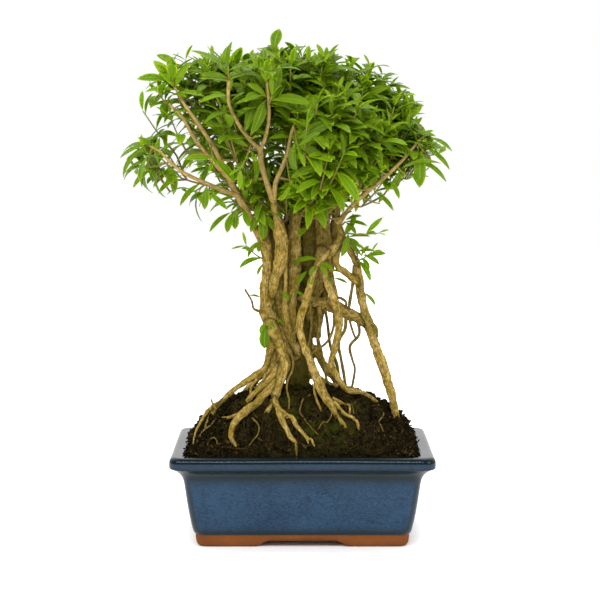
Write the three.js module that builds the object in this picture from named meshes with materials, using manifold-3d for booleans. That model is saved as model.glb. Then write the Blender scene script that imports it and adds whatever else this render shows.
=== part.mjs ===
// Serissa bonsai in a glazed rectangular pot. Millimetres, +Z up.
// A tree grown over exposed roots: several trunks fused side by side, roots that arch down
// into a mound of soil, and a dome of leafy stems. Each leafy stem is a piece of its own.
// While it is built, X and Y count from the middle of the pot. At the end the whole plant is
// moved so that the origin is the bottom centre of its bounding box.
import * as THREE from 'three';
import { mergeVertices } from 'three/addons/utils/BufferGeometryUtils.js';
import Module from 'manifold-3d';

const { Manifold, Mesh } = await startManifold();
const UP = new THREE.Vector3(0, 0, 1);

// Pot: outside size at the rim, and the heights of its steps
const POT_WIDTH = 200;
const POT_DEPTH = 150;
const POT_HEIGHT = 71;
const RIM_WIDTH = 12.5;
const LIP_HEIGHT = 8.5;
const FOOT_HEIGHT = 9.5;
const RECESS_HEIGHT = 5.6;
const FLOOR_TOP = 14;
const ARCH_HEIGHT = 5;
const FRONT_ARCH = [35.5, 25.8];
const SIDE_ARCH = [24, 16];
const DRAIN_RADIUS = 8;
const DRAIN_OFFSET = 42;

// Plastic mesh over each drain hole
const MESH_SIZE = 26;
const MESH_THICKNESS = 1.2;
const MESH_GAP = 7;

// Soil: its edge lies just under the rim, and it is heaped up under the trunks
const SOIL_EDGE = 67.5;
const SOIL_HEAP = 47;
const SOIL_REACH = [91, 66];
const SOIL_LUMP = 1.8;

// Leaves and leafy stems
const LEAF_LENGTH = 22;
const LEAF_WIDTH = 6.4;
const LEAF_THICKNESS = 1;
const LEAF_ARCH = 0.5;
const LEAF_SECTIONS = [[0.36, 0.8], [0.7, 1]];
const LEAVES_PER_STEM = 7;
const LEAVES_PER_LOW_TWIG = 3;
const PAIR_TURN = 1.45;
const PAIR_LEAN = 1.05;
const TIP_LEAF_LEAN = 0.12;
const TURN_STEP = 0.55;
const MAX_TURNS = 5;
const STEM_LENGTH = 38;
const STEM_RADII = [1, 0.85, 0.7];
const STEM_SAG = 1.5;
const TIP_REACH = 17;

// Twigs of the wood that carry the leafy stems, and the middle of the crown that stems point from
const TWIG_RADIUS = 1.1;
const TWIG_END = 4;
const LOWEST_TWIG = 235;
const CROWN_HEART = [-12, 0, 250];
const CROWN_DEPTH_CENTRE = 4;

// Clearances between neighbouring pieces, and how far a root goes on under the soil
const GAP = 0.3;
const STEM_GAP = 0.4;
const SHORTEST_EDGE = 0.03;
const ROOT_CLEARANCE = 0.45;
const ROOT_DEPTH = 9;

// Thicker wood has more sides to its section
const THICK_WOOD = 3.6;
const MIDDLING_WOOD = 2.4;

// Wood routes, each point as [x, y, z, radius]. These are the trunks.
const TRUNKS = {
  left: [[-30, -4, 245, 3.1], [-28, -5, 230, 3.5], [-27, -6, 213, 4], [-27, -7, 198, 4.8],
    [-28, -7, 186, 5.4], [-26, -8, 172, 6], [-22, -8, 160, 6], [-12, -1, 142, 6.5]],
  frontLeft: [[-22, -10, 268, 2.5], [-22, -12, 256, 2.5], [-19, -13, 246, 3.4], [-17, -14, 236, 4.8],
    [-16, -15, 222, 4.8], [-18, -14, 209, 4.2], [-22, -11, 197, 3.8]],
  frontStrand: [[-15, -14, 226, 3.2], [-9, -13, 208, 2.5], [-9, -12, 192, 2.6], [-11, -9, 172, 3.2],
    [-10, -5, 156, 4.4], [-6, 2, 140, 5.5]],
  middle: [[-6, 4, 256, 3.4], [-7, 4, 234, 4], [-8, 4, 214, 4.2], [-5, 5, 194, 4.6], [-3, 6, 178, 5]],
  core: [[2, 8, 262, 4], [3, 9, 230, 6], [1, 9, 200, 6.5], [-3, 10, 176, 6], [-6, 9, 146, 6],
    [-4, 7, 126, 7.5], [-3, 6, 104, 8.5]],
  right: [[13, 8, 268, 6], [15, 8, 248, 6.4], [16, 8, 225, 6], [13, 8, 203, 5.4], [8, 8, 184, 5],
    [1, 9, 166, 4.6]],
  rightToBeam: [[17, 6, 218, 4], [21, 5, 202, 3.4], [25, 3, 188, 2.8], [26, 1, 178, 2.6]],
  beam: [[-2, 5, 184, 4.2], [14, 2, 180, 4.6], [22, 1, 179, 5.2], [31, 0, 174, 4.9],
    [39, -1, 171, 4.3], [51, -3, 164, 4]],
  frontRight: [[27, -2, 271, 2.6], [27, -4, 256, 2.8], [27, -5, 243, 2.5], [29, -8, 234, 3.6],
    [26, -11, 226, 3.6], [18, -14, 217, 2.6]],
  frontRightArm: [[28, -7, 234, 3], [35, -7, 225, 3], [42, -6, 211, 3]],
  backLeft: [[-24, 16, 262, 2.8], [-22, 17, 240, 3.6], [-18, 17, 214, 4.6], [-15, 17, 186, 5],
    [-13, 15, 160, 5], [-9, 12, 134, 5.4]],
  back: [[4, 22, 262, 3.4], [3, 22, 236, 4.6], [1, 21, 206, 5], [2, 19, 176, 5.2], [3, 15, 146, 5.4],
    [2, 11, 122, 5.4]],
  backRight: [[26, 14, 262, 2.8], [25, 16, 240, 3.6], [21, 17, 212, 4.4], [15, 17, 182, 4.6],
    [9, 14, 152, 5]],
};

// Thick roots, from where they leave the trunks to where they enter the soil
const ROOTS = {
  frontLeg: [[-25, -12, 166, 4.6], [-20, -14, 155, 4.2], [-16, -16, 148, 4], [-14, -19, 137, 4.2],
    [-15, -22, 128, 3.9], [-19, -26, 118, 3.4], [-21, -30, 110, 2.9], [-24, -34, 104, 2.3]],
  frontLegToe: [[-23, -33, 107, 2], [-26, -38, 102, 1.8], [-29, -43, 97, 1.4]],
  frontLegRun: [[-21, -32, 110, 2.4], [-19, -39, 104, 2.4], [-16, -46, 98, 2.3], [-13, -51, 92, 2.1],
    [-10, -55, 86, 1.9], [-5, -60, 80, 1.5]],
  crossing: [[20, -14, 221, 2.4], [11, -20, 211, 2.1], [6, -21, 197, 2.4], [3, -22, 184, 2.8],
    [-1, -24, 174, 3], [-2, -24, 162, 2.7], [2, -25, 149, 3], [6, -26, 138, 3], [11, -27, 125, 3.3],
    [17, -32, 113, 3.5], [23, -38, 104, 2.8], [29, -46, 95, 2.2], [33, -51, 89, 1.6]],
  knee: [[15, 4, 222, 3.6], [14, -11, 211, 2.6], [18, -14, 200, 2.4], [22, -16, 189, 2.7],
    [27, -18, 178, 3.2], [28, -19, 166, 2.8], [26, -20, 154, 2.6], [24, -21, 145, 2.8],
    [22, -22, 137, 2.3], [26, -21, 127, 2.4], [31, -20, 119, 2.4], [37, -18, 114, 2.2],
    [46, -14, 112, 2], [54, -11, 107, 1.9], [60, -8, 101, 1.4]],
  loop: [[29, -8, 229, 3.2], [26, -10, 218, 2.6], [27, -11, 210, 2.4], [32, -11, 206, 2.8],
    [38, -9, 201, 3], [44, -6, 195, 2.4]],
  outrigger: [[41, -6, 216, 2.6], [44, -5, 203, 2.9], [45, -5, 188, 3.4], [49, -4, 172, 3.6],
    [53, -4, 159, 4], [58, -4, 144, 3.9], [64, -4, 127, 3.7], [68, -7, 115, 3.4], [71, -14, 105, 3.1],
    [72, -21, 97, 2.9], [74, -29, 89, 2.1]],
  leftRun: [[-21, -10, 157, 4], [-25, -11, 143, 3.2], [-28, -13, 133, 2.8], [-35, -14, 126, 2.6],
    [-44, -15, 121, 2.5], [-52, -15, 115, 2.4], [-59, -16, 109, 2.2], [-65, -19, 103, 2],
    [-70, -23, 96, 1.9], [-74, -28, 88, 1.5]],
  leftTwist: [[-62, -17, 107, 1.7], [-71, -24, 101, 1.5], [-76, -32, 95, 1.3], [-81, -39, 86, 1.2],
    [-83, -45, 75, 1]],
  leftInner: [[-17, -17, 134, 3], [-26, -21, 122, 2.8], [-34, -23, 115, 2.5], [-41, -26, 108, 2.2],
    [-46, -29, 102, 1.8]],
  frontRun: [[-17, -22, 124, 3], [-26, -28, 116, 2.9], [-34, -33, 108, 3.1], [-42, -38, 102, 3.1],
    [-49, -43, 96, 2.8], [-53, -49, 90, 2.4], [-53, -55, 83, 2.1], [-50, -58, 78, 1.8]],
  backLeftRun: [[-12, 13, 148, 3.6], [-22, 18, 132, 3.2], [-33, 24, 120, 2.8], [-43, 30, 109, 2.6],
    [-53, 36, 99, 2.2], [-61, 42, 88, 1.7]],
  backRun: [[3, 16, 140, 3.6], [-2, 26, 124, 3.2], [-6, 35, 112, 2.8], [-12, 44, 101, 2.4],
    [-15, 52, 90, 1.8]],
  backRightRun: [[9, 14, 144, 3.4], [19, 22, 126, 3], [28, 29, 114, 2.7], [36, 38, 103, 2.3],
    [41, 47, 91, 1.8]],
  rightRun: [[2, 9, 128, 4], [16, 6, 117, 3], [30, 7, 113, 2.6], [44, 11, 109, 2.2],
    [57, 17, 99, 1.8]],
};

// Thin roots that hang from the beam and the trunks, the last point of each in the soil or free
const HANGING_ROOTS = {
  strandA: [[6, 0, 180, 1.4], [7, -2, 166, 1.1], [6, -4, 154, 1], [4, -6, 146, 0.9]],
  strandB: [[13, -2, 178, 2], [14, -4, 165, 1.6], [12, -5, 153, 1.4], [15, -4, 141, 1.2],
    [17, -2, 130, 1.1], [20, -1, 113, 1]],
  strandC: [[25, -3, 174, 1.3], [24, -7, 162, 1], [19, -11, 151, 1], [6, -17, 142, 1]],
  strandD: [[34, -3, 170, 1.4], [33, -5, 160, 1.2], [28, -7, 150, 1.2], [30, -6, 137, 1.2],
    [32, -4, 126, 1.2], [34, -2, 111, 1]],
  strandE: [[43, -3, 168, 1.3], [44, -3, 156, 1.1], [37, -2, 147, 1.1], [39, -2, 136, 1],
    [41, -1, 128, 1], [38, 0, 110, 0.9]],
  strandF: [[52, -6, 166, 1.3], [57, -8, 162, 1.1], [58, -10, 155, 0.9]],
  strandG: [[41, -6, 210, 2.2], [40, -5, 201, 1.8], [38, -4, 190, 1.4], [36, -3, 175, 1.2]],
  strandH: [[12, 20, 190, 1.5], [19, 27, 168, 1.3], [22, 30, 144, 1.3], [28, 33, 126, 1.2],
    [31, 36, 104, 1]],
  deadTwig: [[-28, -11, 174, 1.2], [-37, -15, 177, 0.9], [-39, -19, 184, 0.9], [-44, -22, 193, 0.8]],
};
const STRANDS_IN_SOIL = ['strandB', 'strandD', 'strandE', 'strandH'];

// Limbs in the crown
const LIMBS = {
  left: [[-27, -6, 215, 3.2], [-33, -8, 232, 2.9], [-43, -11, 252, 2.6], [-51, -14, 266, 2.4],
    [-58, -17, 281, 2.1], [-65, -20, 298, 1.9], [-74, -24, 312, 1.6], [-86, -28, 326, 1.3]],
  leftInner: [[-54, -16, 272, 1.8], [-67, -30, 286, 1.5], [-76, -42, 300, 1.3]],
  leftLow: [[-48, -14, 262, 1.8], [-67, -22, 273, 1.5], [-85, -28, 280, 1.3], [-100, -32, 288, 1.2]],
  front: [[-22, -10, 264, 2.6], [-27, -20, 280, 2.1], [-31, -30, 298, 1.8], [-40, -38, 310, 1.5],
    [-48, -44, 324, 1.3]],
  frontInner: [[-30, -29, 296, 1.6], [-25, -41, 314, 1.4], [-24, -48, 330, 1.2]],
  frontRight: [[-22, -10, 266, 2.3], [-16, -26, 282, 1.8], [-8, -42, 297, 1.4]],
  middle: [[-6, 4, 250, 3], [-5, 2, 276, 2.5], [-2, 0, 300, 2.1], [-5, -4, 330, 1.6], [-12, -10, 350, 1.3]],
  right: [[13, 8, 262, 4], [17, 5, 279, 2.8], [23, 1, 292, 2.2], [32, -4, 306, 1.7], [40, -8, 324, 1.4]],
  rightOut: [[27, -5, 242, 2], [37, -12, 250, 1.7], [46, -18, 262, 1.5], [56, -22, 272, 1.3],
    [70, -25, 282, 1.2]],
  frontRightUp: [[27, -2, 268, 2.4], [29, -14, 284, 1.9], [32, -30, 296, 1.5], [33, -42, 308, 1.3]],
  rightUp: [[18, 6, 276, 2.6], [34, 8, 290, 2], [50, 8, 304, 1.6], [60, 6, 318, 1.3]],
  backLeft: [[-23, 16, 256, 2.8], [-33, 24, 276, 2.3], [-46, 32, 294, 1.8], [-60, 38, 310, 1.4]],
  back: [[4, 22, 256, 3], [1, 30, 278, 2.4], [-4, 40, 298, 1.9], [-8, 48, 316, 1.4]],
  backRight: [[26, 14, 256, 2.8], [34, 24, 276, 2.2], [42, 36, 294, 1.7], [50, 42, 308, 1.4]],
};

// Furthest leaf tip of each leafy stem, seen round the front and both sides
const TIPS = [
  [-140, -38, 291], [-137, 8, 316], [-135, -10, 338], [-108, -20, 376], [-80, -10, 373],
  [-58, 10, 378], [-18, -20, 394], [24, 0, 378], [60, 6, 371], [86, 0, 350],
  [95, 2, 331], [101, -20, 316], [117, -30, 302], [113, -22, 276], [92, -30, 270], [76, 4, 254],
  [-74, -34, 258], [-96, -4, 262], [-124, -34, 270], [-20, 22, 384],
];

// The same for the face of the crown. The back has its like, shifted a little by seeded draws.
const FACE_TIPS = [
  [-98, -52, 332], [-62, -70, 350], [-24, -82, 352], [14, -84, 346], [49, -72, 346], [76, -50, 326],
  [-76, -68, 300], [-40, -90, 318], [-2, -94, 310], [38, -86, 308], [70, -62, 290],
  [-50, -72, 276], [-8, -76, 280], [32, -70, 268], [-36, -50, 374], [18, -46, 376],
];
const BACK_SHIFT = 9;

// Small twigs low on the trunks, each from a point inside the wood to its tip
const LOW_TWIGS = [
  [[29, -8, 236], [58, -22, 236]],
  [[-28, -7, 214], [-43, -18, 226]],
  [[-26, -10, 162], [-36, -17, 141]],
];
const SEATING_STEP = 0.2;
const SEATING_STEPS = 60;

async function startManifold() {
  const wasm = await Module();
  wasm.setup();
  return wasm;
}

// A repeatable stream of numbers between 0 and 1
function seededDraws(seed) {
  let state = seed;
  return () => {
    state = (state * 16807) % 2147483647;
    return state / 2147483647;
  };
}

// A closed solid through a row of rings, each with the same number of points
function loft(rings) {
  const sides = rings[0].length;
  const positions = rings.flat().flatMap((p) => p.toArray());
  const index = [];
  for (let row = 0; row < rings.length - 1; row++) {
    for (let i = 0; i < sides; i++) {
      const a = row * sides + i;
      const b = row * sides + ((i + 1) % sides);
      index.push(a, b, b + sides, a, b + sides, a + sides);
    }
  }
  for (const [ring, flipped] of [[rings[0], true], [rings[rings.length - 1], false]]) {
    const first = (flipped ? 0 : rings.length - 1) * sides;
    const centre = ring.reduce((sum, p) => sum.add(p), new THREE.Vector3()).divideScalar(sides);
    const hub = positions.length / 3;
    positions.push(...centre.toArray());
    for (let i = 0; i < sides; i++) {
      const a = first + i;
      const b = first + ((i + 1) % sides);
      index.push(...(flipped ? [b, a, hub] : [a, b, hub]));
    }
  }
  const geometry = new THREE.BufferGeometry();
  geometry.setAttribute('position', new THREE.Float32BufferAttribute(positions, 3));
  geometry.setIndex(index);
  return geometry;
}

function solidOf(geometry) {
  const bare = geometry.clone();
  bare.deleteAttribute('normal');
  bare.deleteAttribute('uv');
  const merged = mergeVertices(bare);
  return new Manifold(new Mesh({
    numProp: 3,
    vertProperties: new Float32Array(merged.attributes.position.array),
    triVerts: new Uint32Array(merged.index.array),
  }));
}

function geometryOf(solid) {
  const mesh = solid.getMesh();
  const geometry = new THREE.BufferGeometry();
  geometry.setAttribute('position', new THREE.Float32BufferAttribute(mesh.vertProperties, 3));
  geometry.setIndex(withoutShortEdges(geometry.attributes.position, mesh.triVerts));
  geometry.computeVertexNormals();
  return geometry;
}

// Where two surfaces cross close to a corner the join has very short edges. The two ends of
// each become one point, and the triangles that this empties go.
function withoutShortEdges(position, corners) {
  const point = (i) => new THREE.Vector3().fromBufferAttribute(position, i);
  const stands = Array.from({ length: position.count }, (_, i) => i);
  const standIn = (i) => (stands[i] === i ? i : standIn(stands[i]));
  for (let t = 0; t < corners.length; t++) {
    const a = standIn(corners[t]);
    const b = standIn(corners[t % 3 === 2 ? t - 2 : t + 1]);
    if (a !== b && point(a).distanceTo(point(b)) < SHORTEST_EDGE) stands[Math.max(a, b)] = Math.min(a, b);
  }
  const kept = [];
  for (let t = 0; t < corners.length; t += 3) {
    const [a, b, c] = [corners[t], corners[t + 1], corners[t + 2]].map(standIn);
    if (a !== b && b !== c && c !== a) kept.push(a, b, c);
  }
  return kept;
}

// Cutting can leave loose crumbs, so only the largest body is kept
function largestBody(solid) {
  return solid.decompose().reduce((best, body) => (body.volume() > best.volume() ? body : best));
}

// One ring of a rectangle with rounded corners, anticlockwise seen from above
function roundedRing(halfWidth, halfDepth, radius, z, cornerSteps = 3) {
  const ring = [];
  for (let corner = 0; corner < 4; corner++) {
    const sx = corner === 0 || corner === 3 ? 1 : -1;
    const sy = corner < 2 ? 1 : -1;
    for (let step = 0; step <= cornerSteps; step++) {
      const angle = (corner + step / cornerSteps) * (Math.PI / 2);
      ring.push(new THREE.Vector3(
        sx * (halfWidth - radius) + radius * Math.cos(angle),
        sy * (halfDepth - radius) + radius * Math.sin(angle),
        z,
      ));
    }
  }
  return ring;
}

// Pot walls as rows of [height, distance in from the rim's outside, corner radius]
function potRings(rows) {
  return rows.map(([z, inset, radius]) => (
    roundedRing(POT_WIDTH / 2 - inset, POT_DEPTH / 2 - inset, radius, z)));
}

function makePot() {
  const lip = POT_HEIGHT - LIP_HEIGHT;
  const hollowTop = POT_HEIGHT + 1;
  const outside = solidOf(loft(potRings([
    [0, 23, 6], [2.2, 20.6, 8], [FOOT_HEIGHT, 19.4, 9], [11.5, 17.6, 9], [14.5, 16.3, 9],
    [35, 12.6, 9], [54, 10.2, 9], [58, 9.6, 9], [61, 3.5, 10], [lip, 0.8, 11],
    [POT_HEIGHT - 2, 0, 12], [POT_HEIGHT, 2.2, 11],
  ])));
  const inside = solidOf(loft(potRings([
    [FLOOR_TOP, 26, 6], [17, 23, 8], [52, 16.5, 8], [POT_HEIGHT - 1.5, RIM_WIDTH, 7],
    [hollowTop, RIM_WIDTH - 2, 7],
  ])));
  const recess = solidOf(loft(potRings([[-1, 31, 6], [RECESS_HEIGHT, 33, 5]])));
  let pot = outside.subtract(inside).subtract(recess);
  pot = pot.subtract(archCutter(FRONT_ARCH, POT_DEPTH, 0));
  pot = pot.subtract(archCutter(SIDE_ARCH, POT_WIDTH, Math.PI / 2));
  for (const x of [-DRAIN_OFFSET, DRAIN_OFFSET]) {
    const hole = new THREE.CylinderGeometry(DRAIN_RADIUS, DRAIN_RADIUS, 2 * FLOOR_TOP, 14);
    hole.rotateX(Math.PI / 2).translate(x, 0, FLOOR_TOP);
    pot = pot.subtract(solidOf(hole));
  }
  return geometryOf(pot);
}

// The low arch between two feet, carried right through the pot
function archCutter([low, high], length, turn) {
  const outline = new THREE.Shape();
  outline.moveTo(-low - 0.4, -1);
  outline.lineTo(low + 0.4, -1);
  outline.lineTo(high, ARCH_HEIGHT);
  outline.lineTo(-high, ARCH_HEIGHT);
  const cutter = new THREE.ExtrudeGeometry(outline, { depth: length, bevelEnabled: false });
  cutter.translate(0, 0, -length / 2).rotateX(Math.PI / 2).rotateZ(turn);
  return solidOf(cutter);
}

// A square plate with four square holes
function makeDrainMesh(x) {
  const level = FLOOR_TOP + GAP + MESH_THICKNESS / 2;
  const plate = new THREE.BoxGeometry(MESH_SIZE, MESH_SIZE, MESH_THICKNESS).translate(x, 0, level);
  let mesh = solidOf(plate);
  for (const [u, v] of [[-1, -1], [1, -1], [1, 1], [-1, 1]]) {
    const hole = new THREE.BoxGeometry(MESH_GAP, MESH_GAP, 3 * MESH_THICKNESS);
    mesh = mesh.subtract(solidOf(hole.translate(x + u * MESH_SIZE / 4, v * MESH_SIZE / 4, level)));
  }
  return geometryOf(mesh);
}

// Height of the soil: a heap that falls away slowly, then steeply, towards the rim
function soilHeight(x, y) {
  const [reachX, reachY] = SOIL_REACH;
  const across = Math.max(0, 1 - Math.abs(x / reachX) ** 3.4) ** 0.85;
  const along = Math.max(0, 1 - Math.abs(y / reachY) ** 2.4) ** 0.9;
  return SOIL_EDGE + SOIL_HEAP * across * along * (1 - 0.1 * Math.abs(x / reachX));
}

function makeSoil(rootCutter) {
  const draw = seededDraws(4021);
  const rings = [];
  const wall = [[FLOOR_TOP + GAP, 27, 6], [17.4, 23.5, 8], [52, 17, 8], [SOIL_EDGE, 13.8, 7]];
  for (const [z, inset, radius] of wall) {
    rings.push(roundedRing(POT_WIDTH / 2 - inset, POT_DEPTH / 2 - inset, radius, z, 5));
  }
  const edge = rings[rings.length - 1];
  for (const share of [0.975, 0.9, 0.76, 0.56, 0.34, 0.12]) {
    rings.push(edge.map((p) => {
      const lump = share > 0.95 ? 0 : (draw() - 0.5) * 2 * SOIL_LUMP;
      const x = p.x * share;
      const y = p.y * share;
      return new THREE.Vector3(x, y, soilHeight(x, y) + lump);
    }));
  }
  let soil = solidOf(loft(rings)).subtract(rootCutter);
  for (const x of [-DRAIN_OFFSET, DRAIN_OFFSET]) {
    const side = MESH_SIZE + 2 * GAP;
    const pocket = new THREE.BoxGeometry(side, side, 2 * (MESH_THICKNESS + GAP));
    soil = soil.subtract(solidOf(pocket.translate(x, 0, FLOOR_TOP + GAP)));
  }
  return geometryOf(largestBody(soil));
}

// A round, tapering length of wood: a ring at each point, square to the route
function taperedTube(route, sides, grow = 0) {
  const points = route.map(([x, y, z]) => new THREE.Vector3(x, y, z));
  const last = points.length - 1;
  let normal = null;
  const rings = points.map((point, i) => {
    const tangent = points[Math.min(i + 1, last)].clone().sub(points[Math.max(i - 1, 0)]).normalize();
    if (!normal) {
      normal = new THREE.Vector3(Math.abs(tangent.x) < 0.8 ? 1 : 0, Math.abs(tangent.x) < 0.8 ? 0 : 1, 0);
    }
    normal = normal.clone().addScaledVector(tangent, -normal.dot(tangent)).normalize();
    const binormal = tangent.clone().cross(normal);
    const centre = point.clone().addScaledVector(tangent, i === last ? grow : 0);
    return Array.from({ length: sides }, (_, k) => {
      const angle = (2 * Math.PI * k) / sides;
      return centre.clone()
        .addScaledVector(normal, (route[i][3] + grow) * Math.cos(angle))
        .addScaledVector(binormal, (route[i][3] + grow) * Math.sin(angle));
    });
  });
  return loft(rings);
}

function sidesFor(route) {
  const thickest = Math.max(...route.map((point) => point[3]));
  if (thickest > THICK_WOOD) return 6;
  return thickest > MIDDLING_WOOD ? 5 : 4;
}

// A root's route with one more point, sunk into the soil
function sunk(route) {
  const [x0, y0] = route[route.length - 2];
  const [x, y, z, radius] = route[route.length - 1];
  const reach = Math.hypot(x - x0, y - y0) || 1;
  const under = [x + (x - x0) / reach, y + (y - y0) / reach, z - ROOT_DEPTH, 0.7 * radius];
  return [...route, under];
}

function rootRoutes() {
  const strands = Object.entries(HANGING_ROOTS)
    .map(([name, route]) => (STRANDS_IN_SOIL.includes(name) ? sunk(route) : route));
  return [...Object.values(ROOTS).map(sunk), ...strands, TRUNKS.core];
}

// Where each leafy stem stands: its leaf tips, its own tip and its foot
function stemPlaces() {
  const draw = seededDraws(1213);
  const shift = () => (draw() - 0.5) * 2 * BACK_SHIFT;
  const backTips = FACE_TIPS.map(([x, y, z]) => (
    [x + shift(), 2 * CROWN_DEPTH_CENTRE - y + shift() * 0.5, z + shift() * 0.6]));
  const heart = new THREE.Vector3(...CROWN_HEART);
  const places = [...TIPS, ...FACE_TIPS, ...backTips].map((tip, number) => {
    const reach = new THREE.Vector3(...tip);
    const outward = reach.clone().sub(heart).normalize();
    const end = reach.clone().addScaledVector(outward, -TIP_REACH);
    const growth = outward.clone().addScaledVector(UP, 0.35).normalize();
    const leaves = number < TIPS.length + FACE_TIPS.length ? LEAVES_PER_STEM : LEAVES_PER_STEM - 1;
    return { foot: end.clone().addScaledVector(growth, -STEM_LENGTH), end, leaves };
  });
  return [...places, ...LOW_TWIGS.map(([foot, tip]) => (
    {
      foot: new THREE.Vector3(...foot),
      end: new THREE.Vector3(...tip),
      leaves: LEAVES_PER_LOW_TWIG,
      grounded: true,
    }))];
}

// Twigs in the wood that carry the leafy stems. Each starts from the nearest wood that is lower.
function feedingTwigs(places) {
  const wood = [...Object.values(LIMBS), ...Object.values(TRUNKS)].flatMap((route) => (
    route.filter((point) => point[2] > LOWEST_TWIG)
      .map(([x, y, z, r]) => ({ at: new THREE.Vector3(x, y, z), r }))));
  const waiting = places.filter((place) => !place.grounded)
    .map((place) => ({ place, far: place.foot.distanceTo(nearestWood(wood, place.foot).at) }))
    .sort((a, b) => a.far - b.far);
  return waiting.map(({ place }) => {
    const { foot } = place;
    const from = nearestWood(wood, foot);
    const length = from.at.distanceTo(foot);
    const startRadius = Math.min(from.r * 0.85, 1.2 + 0.01 * length);
    const before = foot.clone().addScaledVector(place.end.clone().sub(foot).normalize(), -TWIG_END);
    wood.push({ at: from.at.clone().lerp(before, 0.5), r: TWIG_RADIUS });
    return [[...from.at.toArray(), startRadius], [...before.toArray(), TWIG_RADIUS],
      [...foot.toArray(), TWIG_RADIUS]];
  });
}

// Wood above the foot counts as further away, because a twig grows upwards
function nearestWood(wood, foot) {
  let best = null;
  let lowest = Infinity;
  for (const piece of wood) {
    const cost = piece.at.distanceTo(foot) + 1.5 * Math.max(0, piece.at.z - foot.z + 4);
    if (cost < lowest) {
      lowest = cost;
      best = piece;
    }
  }
  return best;
}

function makeWood(places) {
  const routes = [...Object.values(TRUNKS), ...rootRoutes(), ...Object.values(LIMBS)];
  return Manifold.union([
    ...routes.map((route) => solidOf(taperedTube(route, sidesFor(route)))),
    ...feedingTwigs(places).map((route) => solidOf(taperedTube(route, 3))),
  ]);
}

// One leaf: pointed at both ends, widest past its middle, flat below, ridged along its midrib
// above, and arched down towards its tip
function leafSolid(root, direction, up, length, grow = 0) {
  const side = direction.clone().cross(up).normalize();
  const back = side.clone().cross(direction).normalize();
  const halfWidth = (LEAF_WIDTH * length) / LEAF_LENGTH / 2 + grow;
  const at = (share) => root.clone()
    .addScaledVector(direction, length * share)
    .addScaledVector(back, -length * LEAF_ARCH * share * share * 0.5);
  const points = [at(0)];
  for (const [share, fullness] of LEAF_SECTIONS) {
    const under = at(share).addScaledVector(back, -grow);
    points.push(
      under.clone().addScaledVector(side, halfWidth * fullness),
      under.clone().addScaledVector(back, LEAF_THICKNESS + 2 * grow),
      under.clone().addScaledVector(side, -halfWidth * fullness),
    );
  }
  points.push(at(1));
  const index = [];
  for (let i = 0; i < 3; i++) {
    const j = (i + 1) % 3;
    index.push(0, 1 + i, 1 + j);
    index.push(1 + i, 4 + i, 4 + j, 1 + i, 4 + j, 1 + j);
    index.push(4 + i, 7, 4 + j);
  }
  const geometry = new THREE.BufferGeometry();
  geometry.setAttribute('position',
    new THREE.Float32BufferAttribute(points.flatMap((p) => p.toArray()), 3));
  geometry.setIndex(index);
  return solidOf(geometry);
}

// Route of a leafy stem: it leaves its foot outwards and turns up towards its tip
function stemRoute({ foot, end }) {
  const away = end.clone().sub(foot).normalize();
  const start = foot.clone().addScaledVector(away, STEM_GAP);
  const bend = start.clone().lerp(end, 0.5).addScaledVector(UP, -STEM_SAG);
  return [start, bend, end].map((point, i) => [...point.toArray(), STEM_RADII[i]]);
}

// A low twig slides out along its own line until it is just clear of the wood
function seatedRoute(place, others) {
  const away = place.end.clone().sub(place.foot).normalize();
  const moved = (steps) => stemRoute({
    foot: place.foot.clone().addScaledVector(away, steps * SEATING_STEP), end: place.end,
  });
  for (let steps = 0; steps < SEATING_STEPS; steps++) {
    if (!meets(solidOf(taperedTube(moved(steps), 3)), others)) return moved(steps + 1);
  }
  return moved(SEATING_STEPS);
}

function boxesTouch(a, b) {
  return [0, 1, 2].every((i) => a.min[i] < b.max[i] && b.min[i] < a.max[i]);
}

function meets(solid, others) {
  const box = solid.boundingBox();
  return others.some((other) => boxesTouch(box, other.box) && solid.intersect(other.solid).volume() > 0);
}

// A leafy stem: opposite pairs of leaves up the stem, each pair turned from the last, and one leaf
// at the tip. A leaf that would meet a neighbouring piece is turned clear of it, or left off.
function makeLeafyStem(place, number, others) {
  const draw = seededDraws(300 + 17 * number);
  const route = place.grounded ? seatedRoute(place, others) : stemRoute(place);
  const stem = solidOf(taperedTube(route, 3));
  if (meets(stem, others)) return null;
  const start = new THREE.Vector3(...route[0]);
  const axis = place.end.clone().sub(start).normalize();
  const sideways = UP.clone().cross(axis).normalize();
  const up = axis.clone().addScaledVector(UP, 0.8).normalize();
  const pairs = Math.floor(place.leaves / 2);
  const pieces = [stem];
  for (let k = 0; k < place.leaves; k++) {
    const isTip = k === place.leaves - 1;
    const pair = Math.floor(k / 2);
    const share = isTip ? 0.93 : 0.36 + (0.58 * pair) / Math.max(1, pairs - 1);
    const root = pointOn(route, share);
    const length = LEAF_LENGTH * (0.88 + 0.24 * draw());
    const lean = isTip ? TIP_LEAF_LEAN : PAIR_LEAN - 0.35 * share + 0.2 * (draw() - 0.5);
    let turn = 0.35 + pair * PAIR_TURN + (k % 2) * Math.PI + 0.5 * (draw() - 0.5);
    for (let attempt = 0; attempt < MAX_TURNS; attempt++) {
      const spread = sideways.clone().applyAxisAngle(axis, turn);
      const direction = axis.clone().multiplyScalar(Math.cos(lean))
        .addScaledVector(spread, Math.sin(lean)).normalize();
      if (!meets(leafSolid(root, direction, up, length, GAP), others)) {
        pieces.push(leafSolid(root, direction, up, length));
        break;
      }
      turn += TURN_STEP;
    }
  }
  return Manifold.union(pieces);
}

function pointOn(route, share) {
  const spot = share * (route.length - 1);
  const row = Math.min(Math.floor(spot), route.length - 2);
  const a = new THREE.Vector3(...route[row]);
  const b = new THREE.Vector3(...route[row + 1]);
  return a.lerp(b, spot - row);
}

function material(color, roughness) {
  return new THREE.MeshStandardMaterial({ color, roughness, metalness: 0 });
}

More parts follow.
